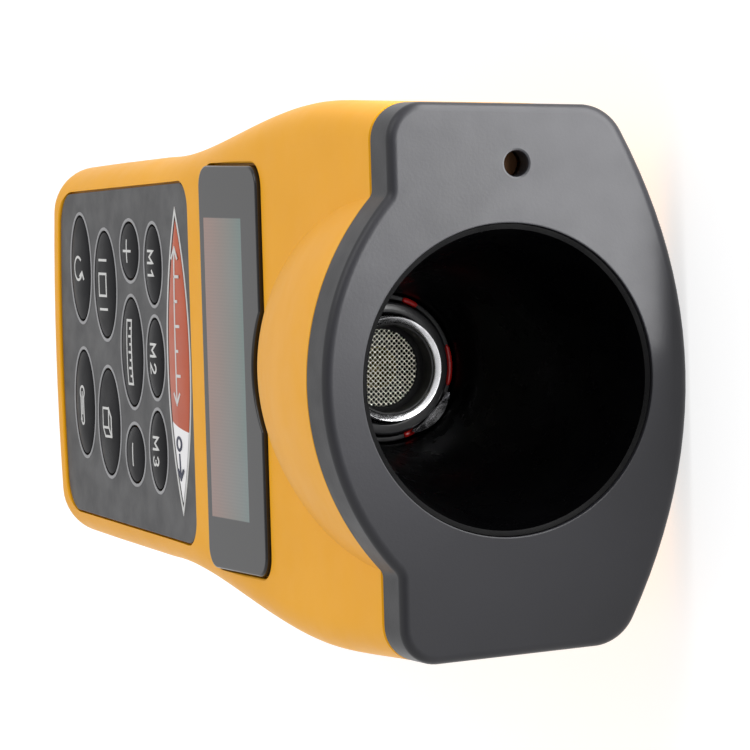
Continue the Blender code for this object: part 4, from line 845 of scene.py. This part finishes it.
def transducer():
    """The can's sloped rim, its dark liner, the collar, the beads, the clip, the mesh and the cone."""
    inner, low = CAN_RADIUS - CAN_WALL, CAN_DEPTH + CAN_RIM_SLOPE
    rim = [(inner, CAN_END), (inner, low + 0.16 * MM), (inner + 0.03 * MM, low + 0.05 * MM)]
    for i in range(7):
        radius = mix(inner + 0.1 * MM, CAN_RADIUS - 0.1 * MM, i / 6)
        rim.append((radius, CAN_DEPTH + 0.01 * MM + CAN_RIM_SLOPE * (1 - i / 6) ** 1.25))
    rim += [(CAN_RADIUS - 0.03 * MM, CAN_DEPTH + 0.05 * MM), (CAN_RADIUS, CAN_DEPTH + 0.14 * MM)]
    rim.append((CAN_RADIUS, CAN_END))
    place(turned("can_rim", rim, finish=CAN, sharp=40), "housing", "transducer_can", slot="aluminium")
    wall, ledge = inner - 0.02 * MM, inner - 0.25 * MM
    sleeve = [(wall, CAN_DEPTH + 0.7 * MM), (wall, CAN_END - 2.5 * MM)]
    throat = MESH_RADIUS - 0.35 * MM
    sleeve += [(throat, CAN_END - 2.5 * MM), (throat, MESH_DEPTH + 0.1 * MM)]
    sleeve += [(MESH_RADIUS - 0.2 * MM, MESH_DEPTH - 0.1 * MM), (MESH_RADIUS, MESH_DEPTH - 0.2 * MM)]
    sleeve += [(ledge, MESH_DEPTH - 0.6 * MM), (ledge, CAN_DEPTH + 0.75 * MM)]
    place(turned("can_liner", sleeve, finish=BLACK), "housing", slot="black_plastic")
    collar = ring_profile(COLLAR_INNER_RADIUS, COLLAR_OUTER_RADIUS, COLLAR_DEPTH, CAN_END, 0.35 * MM)
    place(turned("throat_collar", collar, finish=VINYL), "housing", "transducer_collar", slot="grey_plastic")
    seat = ring_profile(SEAT_INNER_RADIUS, SEAT_OUTER_RADIUS, SEAT_DEPTH, CAN_END, 0.2 * MM)
    place(turned("seal_seat", seat, finish=BLACK), "housing", slot="black_plastic")
    for number, (middle, half_span) in enumerate(BEADS, start=1):
        bead = silicone_bead(number, middle, half_span)
        place(bead, "housing", "transducer_seal", slot="red_silicone")
    place(corner_bracket(), "housing", slot="aluminium")
    place(woven_mesh(), "housing", "transducer_mesh", slot="woven_mesh")
    cone = [(0.0, 46.9), (0.5, 46.9), (1.2, 46.6), (2.6, 45.6), (2.8, 45.6)]
    cone += [(2.8, 45.8), (1.5, 47.0), (1.2, 47.7), (0.0, 47.7)]
    cone = [(radius * MM, depth * MM) for radius, depth in cone]
    place(turned("resonator_cone", cone, finish=CONE), "housing", slot="woven_mesh")


def around(radius, angle, depth):
    """A point round the horn's axis: angle 0 is down, 90 is +X."""
    return (radius * sin(angle), y_at(depth), z_at(-radius * cos(angle)))


def silicone_bead(number, middle, half_span):
    """One of the beads of red silicone that hold the transducer: a curved bar with round ends."""
    rings = []
    for i in range(25):
        t = mix(-1, 1, i / 24)
        angle = radians(middle + half_span * t)
        size = BEAD_RADIUS * sqrt(1 - abs(t) ** 6) + 0.02 * MM
        ring = []
        for k in range(12):
            a = 2 * pi * k / 12
            radius, depth = BEAD_RING_RADIUS + size * cos(a), SEAT_DEPTH + 0.9 * size * sin(a)
            ring.append(around(radius, angle, depth))
        rings.append(ring)
    return loft(f"silicone_bead_{number}", rings, SEAL)


def corner_bracket():
    """A bright bent clip over the collar at the lower corner."""
    rings = []
    for i in range(17):
        t = i / 16
        angle = radians(mix(-22.0, -68.0, t))
        reach = 10.1 * MM - 0.55 * MM * (2 * t - 1) ** 2
        wide = mix(0.35, 1.15, sin(pi * t) ** 1.5) * MM
        root = reach - wide
        profile = [(root, 2.5), (root + 0.12 * MM, 2.25), (reach, 1.7), (reach, 2.1), (root, 2.8)]
        rings.append([around(r, angle, CAN_DEPTH + d * MM) for r, d in profile])
    return loft("corner_bracket", rings, CAN, fan=False)


def woven_mesh():
    """A real plain weave of round wires, laid at 45 degrees across the can."""
    pitch, wire, turns = MESH_PITCH, MESH_WIRE_RADIUS, [2 * pi * s / 6 for s in range(6)]
    count = int(MESH_RADIUS / pitch)
    bm = bmesh.new()
    for direction in (0, 1):
        side = Vector((1 if direction else -1, 0, 1)).normalized()
        for i in range(-count, count + 1):
            offset = i * pitch
            reach = sqrt(max(0.0, (MESH_RADIUS - 0.1 * MM) ** 2 - offset**2))
            steps = max(4, int(2 * reach / (pitch / 3)))
            rings = []
            for k in range(steps + 1):
                along = mix(-reach, reach, k / steps)
                lift = wire * 1.05 * cos(pi * along / pitch) * (1 if (i + direction) % 2 else -1)
                u, v = (offset, along) if direction else (along, offset)
                x, h = (u - v) * sqrt(0.5), (u + v) * sqrt(0.5)
                centre = Vector((x, y_at(MESH_DEPTH + 0.25 * MM) + lift, z_at(h)))
                rings.append([centre + wire * (side * cos(a) + Vector((0, sin(a), 0))) for a in turns])
            loops = skin(bm, rings)
            bm.faces.new(loops[0])
            bm.faces.new(loops[-1])
    return new_object("woven_mesh", bm, WIRE, 40)


# --- display and keypad


def display_window():
    """The tinted sheet over the display, its edge rounded at the top."""
    top, low = z_at(FACE + WINDOW_PROUD), z_at(FACE + WINDOW_PROUD - WINDOW_THICKNESS)
    edge = 0.35 * MM
    levels = [(0.0, low)] + [(-edge * (1 - cos(a)), top - edge + edge * sin(a)) for a in quarter_turn(6)]
    window = stacked("window_sheet", window_outline, levels, WINDOW)
    place(weighted(window), "housing", "display_window", slot="window")


def keypad():
    """The overlay with a hole for each key, and the keys' rings and caps."""
    top = z_at(OVERLAY_TOP)
    levels = [(0.0, top - 0.6 * MM), (0.0, top - 0.15 * MM), (0.04 * MM, top - 0.04 * MM), (0.15 * MM, top)]
    overlay = stacked("keypad_sheet", keypad_outline, levels, OVERLAY)
    cut(overlay, prisms("key_holes", [
        (key_outline(name, GAP - KEY_RING), top - 2 * MM, top + MM) for name in KEYS]))
    place(weighted(overlay), "housing", "keypad_overlay", slot="black_plastic")
    for name in KEYS:
        key_ring(name, top)
        key_cap(name, top)


def key_ring(name, top):
    """The printed ring round a key, as a raised band with soft edges."""
    inner, outer = GAP - KEY_RING + 0.02 * MM, 0.30 * MM
    profile = [(inner, -0.02), (inner + 0.03 * MM, 0.05), (inner + 0.1 * MM, 0.08), (outer - 0.1 * MM, 0.08)]
    profile += [(outer - 0.03 * MM, 0.05), (outer, -0.02)]
    bm = bmesh.new()
    skin(bm, [[(x, y, top + h * MM) for x, y in key_outline(name, grow)] for grow, h in profile], closed=True)
    ring = new_object(name + "_ring", bm, PRINT_WHITE if name == "key_measure" else PRINT_GREY)
    place(ring, "housing", slot="black_plastic")


def cap_height(share):
    """Height of the cap's dome at a share of the way out to its rim."""
    s = min(1.0, share)
    return KEY_PROUD * (0.14 + 0.84 * (1 - s**2.4)) - 0.14 * KEY_PROUD * (s**16)


def key_cap(name, top):
    """A key's domed cap on its stem, with the marks printed on it."""
    body = name.replace("key_", "") + "_key"
    levels = [(0.55, top - 4.2 * MM), (0.55, top - 1.2 * MM), (1.0, top - 1.2 * MM)]
    shares = (1.0, 0.985, 0.96, 0.92, 0.86, 0.78, 0.68, 0.56, 0.42, 0.28, 0.14, 0.05)
    levels += [(s, top + cap_height(s)) for s in shares]
    rings = [[(x, y, z) for x, y in key_outline(name, -KEY_RING, share)] for share, z in levels]
    cap = loft(name + "_cap", rings, MEASURE if name == "key_measure" else KEYCAP, sharp=50)
    place(cap, body, name, slot="key_red" if name == "key_measure" else "key_black")
    place(ink(name + "_print", name, symbol(name), top, PRINT_WHITE), body, slot="key_black")
    if name == "key_measure":
        arrow = [[(13.2, 0.0), (16.6, 0.0)], [(15.4, 1.0), (16.6, 0.0), (15.4, -1.0)]]
        dark = [*arrow, arc(11.6, 0.0, 0.9, 0, 360)]
        place(ink("key_measure_tip_print", name, dark, top, PRINT_DARK), body, slot="key_red")


def arc(u, v, radius, start, end, steps=14):
    """Points of a stroke along an arc, its angles in degrees."""
    angles = [radians(mix(start, end, i / steps)) for i in range(steps + 1)]
    return [(u + radius * cos(a), v + radius * sin(a)) for a in angles]


def symbol(name):
    """Strokes in mm in the reading direction: u to the reader's right, v up."""
    dash = [(-1.5, 0.0), (1.5, 0.0)]
    heads = [[(-14.6, 1.1), (-16.0, 0.0), (-14.6, -1.1)], [(4.6, 1.1), (6.0, 0.0), (4.6, -1.1)]]
    ticks = [[(-12.0 + 3.5 * i, 0.0), (-12.0 + 3.5 * i, 0.9 if i % 2 else 1.5)] for i in range(5)]
    ruler = [(-4.6, 0.9), (4.6, 0.9), (4.6, -1.1), (-4.6, -1.1), (-4.6, 0.9), (-4.0, 0.9)]
    marks = [[(-3.45 + 1.15 * i, 0.9), (-3.45 + 1.15 * i, -0.2 if i % 2 else 0.25)] for i in range(7)]
    square = [(-1.6, -1.6), (1.6, -1.6), (1.6, 1.6), (-1.6, 1.6), (-1.6, -1.6), (-1.0, -1.6)]
    front = [(-2.0, -1.7), (0.8, -1.7), (0.8, 0.9), (-2.0, 0.9), (-2.0, -1.7), (-1.4, -1.7)]
    back = [(-2.0, 0.9), (-0.7, 1.9), (2.1, 1.9), (2.1, -0.7), (0.8, -1.7)]
    bulb = arc(-1.5, 0.0, 0.9, 40, 320, 20)
    tube = bulb + [(2.6, -0.58)] + arc(2.6, 0.0, 0.58, -90, 90, 8) + [bulb[0]]
    letter_m = [(-1.95, -1.1), (-1.95, 1.1), (-1.1, -0.3), (-0.25, 1.1), (-0.25, -1.1)]
    strokes = {
        "plus": [dash, [(0.0, -1.5), (0.0, 1.5)]],
        "minus": [dash],
        "memory_1": [letter_m, [(0.9, 0.6), (1.5, 1.1), (1.5, -1.1)]],
        "memory_2": [letter_m, arc(1.5, 0.5, 0.6, 160, -40, 10) + [(0.9, -1.1), (2.15, -1.1)]],
        "memory_3": [letter_m, arc(1.45, 0.52, 0.56, 150, -90, 10) + arc(1.45, -0.52, 0.6, 90, -150, 10)],
        "measure": [[(-16.0, 0.0), (6.0, 0.0)], *heads, *ticks],
        "unit": [ruler, *marks],
        "area": [square, [(-3.6, -1.6), (-3.6, 1.6)], [(3.6, -1.6), (3.6, 1.6)]],
        "volume": [front, back, [(0.8, 0.9), (2.1, 1.9)]],
        "recall": [arc(0.0, 0.0, 1.7, 70, -220, 24), [(1.5, 2.1), (0.55, 1.6), (1.1, 0.7)]],
        "temperature": [tube, [(-1.5, 0.0), (1.6, 0.0)]],
    }
    return strokes[name.removeprefix("key_")]


def ink(piece, name, strokes, top, finish):
    """Strokes printed on a cap: thin bands that follow its dome."""
    x0, depth, half_x, half_y = (v * MM for v in KEYS[name])
    y0 = y_at(depth)
    width = (0.42 if name == "key_measure" else 0.36) * MM

    def on_cap(u, v, lift):
        x, y = x0 - u, y0 - v
        if name == "key_measure":
            edge = max(0.2, 1 - ((x - x0) / (half_x - KEY_RING)) ** 2)
            share = abs(y - y0) / ((half_y - KEY_RING) * edge)
            share = max(share, abs(x - x0) / (half_x - KEY_RING))
        else:
            share = hypot((x - x0) / (half_x - KEY_RING), (y - y0) / (half_y - KEY_RING))
        return (x, y, top + cap_height(share) + lift)

    bm = bmesh.new()
    for stroke in strokes:
        points = [Vector((u * MM, v * MM)) for u, v in stroke]
        dense = [points[0]]
        for a, b in zip(points, points[1:]):
            parts = max(1, int((b - a).length / (0.5 * MM)))
            dense += [a.lerp(b, i / parts) for i in range(1, parts + 1)]
        rings = []
        for i, here in enumerate(dense):
            before = (here - dense[i - 1]).normalized() if i else None
            after = (dense[i + 1] - here).normalized() if i + 1 < len(dense) else None
            along = ((before or after) + (after or before)).normalized()
            turn = max(0.45, along.dot(after or before))
            out = Vector((-along.y, along.x)) * (width / 2 / turn)
            end = along * (width / 2) * ((-1 if before is None else 0) + (1 if after is None else 0))
            left, right = here + out + end, here - out + end
            corners = [(left, 0.035), (left, -0.06), (right, -0.06), (right, 0.035)]
            rings.append([on_cap(p.x, p.y, lift * MM) for p, lift in corners])
        loops = skin(bm, rings)
        bm.faces.new(loops[0])
        bm.faces.new(loops[-1])
    return new_object(piece, bm, finish, 40)


# --- screws


def housing_screw(i, x, depth):
    """Pan head with a cross recess, and its shank."""
    r, seat = SCREW_HEAD_RADIUS, SCREW_SEAT
    profile = [(r * sin(a), seat - 1.0 * MM - 0.8 * MM * cos(a)) for a in quarter_turn(8)[1:]]
    profile += [(r, seat), (1.2 * MM, seat), (1.2 * MM, seat + 16 * MM), (0.5 * MM, seat + 18 * MM)]
    rings = []
    for radius, h in profile:
        rings.append([(px, py, z_at(h)) for px, py in circle(x, y_at(depth), radius, 40)])
    bm = bmesh.new()
    loops = skin(bm, rings)
    bm.faces.new(loops[-1])
    tip = bm.verts.new((x, y_at(depth), z_at(seat - 1.8 * MM)))
    for k, vertex in enumerate(loops[0]):
        bm.faces.new((tip, loops[0][k - 1], vertex))
    made = new_object(f"pan_screw_{i}", bm, STEEL, 30)
    y, low, high = y_at(depth), z_at(seat - 2.2 * MM), z_at(seat - 0.8 * MM)
    wide, thin = 1.55 * MM, 0.36 * MM
    for a, b in ((wide, thin), (thin, wide)):
        rings = []
        for share, z in ((1.0, low), (0.45, high)):
            across, along = a * share, b * share
            left, right, near, far = x - across, x + across, y - along, y + along
            rings.append([(left, near, z), (right, near, z), (right, far, z), (left, far, z)])
        cut(made, loft("cross", rings, fan=False))
    place(made, "housing", f"housing_screw_{i}", slot="screw_steel")


# --- stage


def studio_floor():
    """A plain pale floor that glows a little, so that it stays white under the object."""
    g = Graph("studio floor")
    patches = g.remap(g.noise(3.0, 2.0), 0.0, 1.0)
    g.set("Base Color", g.blend(patches, (0.45, 0.45, 0.45), (0.43, 0.43, 0.435)))
    g.set("Roughness", g.remap(g.noise(30.0, 2.0), 0.75, 0.85))
    g.set("Emission Color", (1.0, 1.0, 1.0, 1.0))
    g.set("Emission Strength", FLOOR_GLOW)
    bm = bmesh.new()
    bmesh.ops.create_grid(bm, x_segments=8, y_segments=8, size=FLOOR_HALF_SIZE)
    floor = new_object("studio_floor", bm, g.material)
    floor.location = (0.0, 0.0, -FLOOR_CLEARANCE)


def studio_sky():
    """A soft white surround that is dimmer ahead of the nose and above it."""
    world = bpy.data.worlds.new("studio")
    world.use_nodes = True
    nodes, links = world.node_tree.nodes, world.node_tree.links
    direction = nodes.new("ShaderNodeTexCoord").outputs["Generated"]
    towards_dim = nodes.new("ShaderNodeVectorMath")
    towards_dim.operation = "DOT_PRODUCT"
    towards_dim.inputs[1].default_value = SKY_DIM_TOWARDS
    links.new(direction, towards_dim.inputs[0])
    level = nodes.new("ShaderNodeMapRange")
    level.interpolation_type = "SMOOTHSTEP"
    for key, value in (("From Min", SKY_DIM_FROM), ("From Max", 1.0), ("To Min", SKY), ("To Max", SKY_DIM)):
        level.inputs[key].default_value = value
    links.new(towards_dim.outputs["Value"], level.inputs["Value"])
    links.new(level.outputs["Result"], nodes["Background"].inputs["Strength"])
    nodes["Background"].inputs["Color"].default_value = (1.0, 1.0, 1.0, 1.0)
    bpy.context.scene.world = world


def soft_light(name, at, aim, width, height, power):
    """A rectangular lamp that the camera doesn't see."""
    light = bpy.data.lights.new(name, "AREA")
    light.shape, light.size, light.size_y, light.energy = "RECTANGLE", width, height, power
    lamp = bpy.data.objects.new(name, light)
    lamp.location = at
    lamp.rotation_euler = (Vector(aim) - Vector(at)).to_track_quat("-Z", "Y").to_euler()
    lamp.visible_camera = False
    bpy.context.scene.collection.objects.link(lamp)


def camera():
    """The camera in front of the nose, turned so that +X is up in its picture."""
    lens = bpy.data.cameras.new("camera")
    lens.sensor_width, lens.lens = CAMERA_FILM, CAMERA_FOCAL * CAMERA_FILM
    lens.clip_start, lens.clip_end = 0.01, 20.0
    right, down = Vector(CAMERA_RIGHT).normalized(), Vector(CAMERA_DOWN).normalized()
    forward = right.cross(down).normalized()
    down = forward.cross(right)
    turn = Matrix((right, -down, -forward)).transposed()
    eye = bpy.data.objects.new("camera", lens)
    eye.matrix_world = Matrix.Translation(CAMERA_PLACE) @ turn.to_4x4()
    bpy.context.scene.collection.objects.link(eye)
    bpy.context.scene.camera = eye
    bpy.context.scene.view_settings.view_transform = "Standard"


studio_floor()
studio_sky()
soft_light("key_light", *KEY_LIGHT)
soft_light("floor_panel", *FLOOR_PANEL)
camera()
upper_housing()
lower_housing()
battery_door()
front_bezel()
horn()
transducer()
display_window()
keypad()
for number, (screw_x, screw_depth) in enumerate(SCREWS, start=1):
    housing_screw(number, screw_x * MM, screw_depth * MM)

bpy.context.view_layer.update()
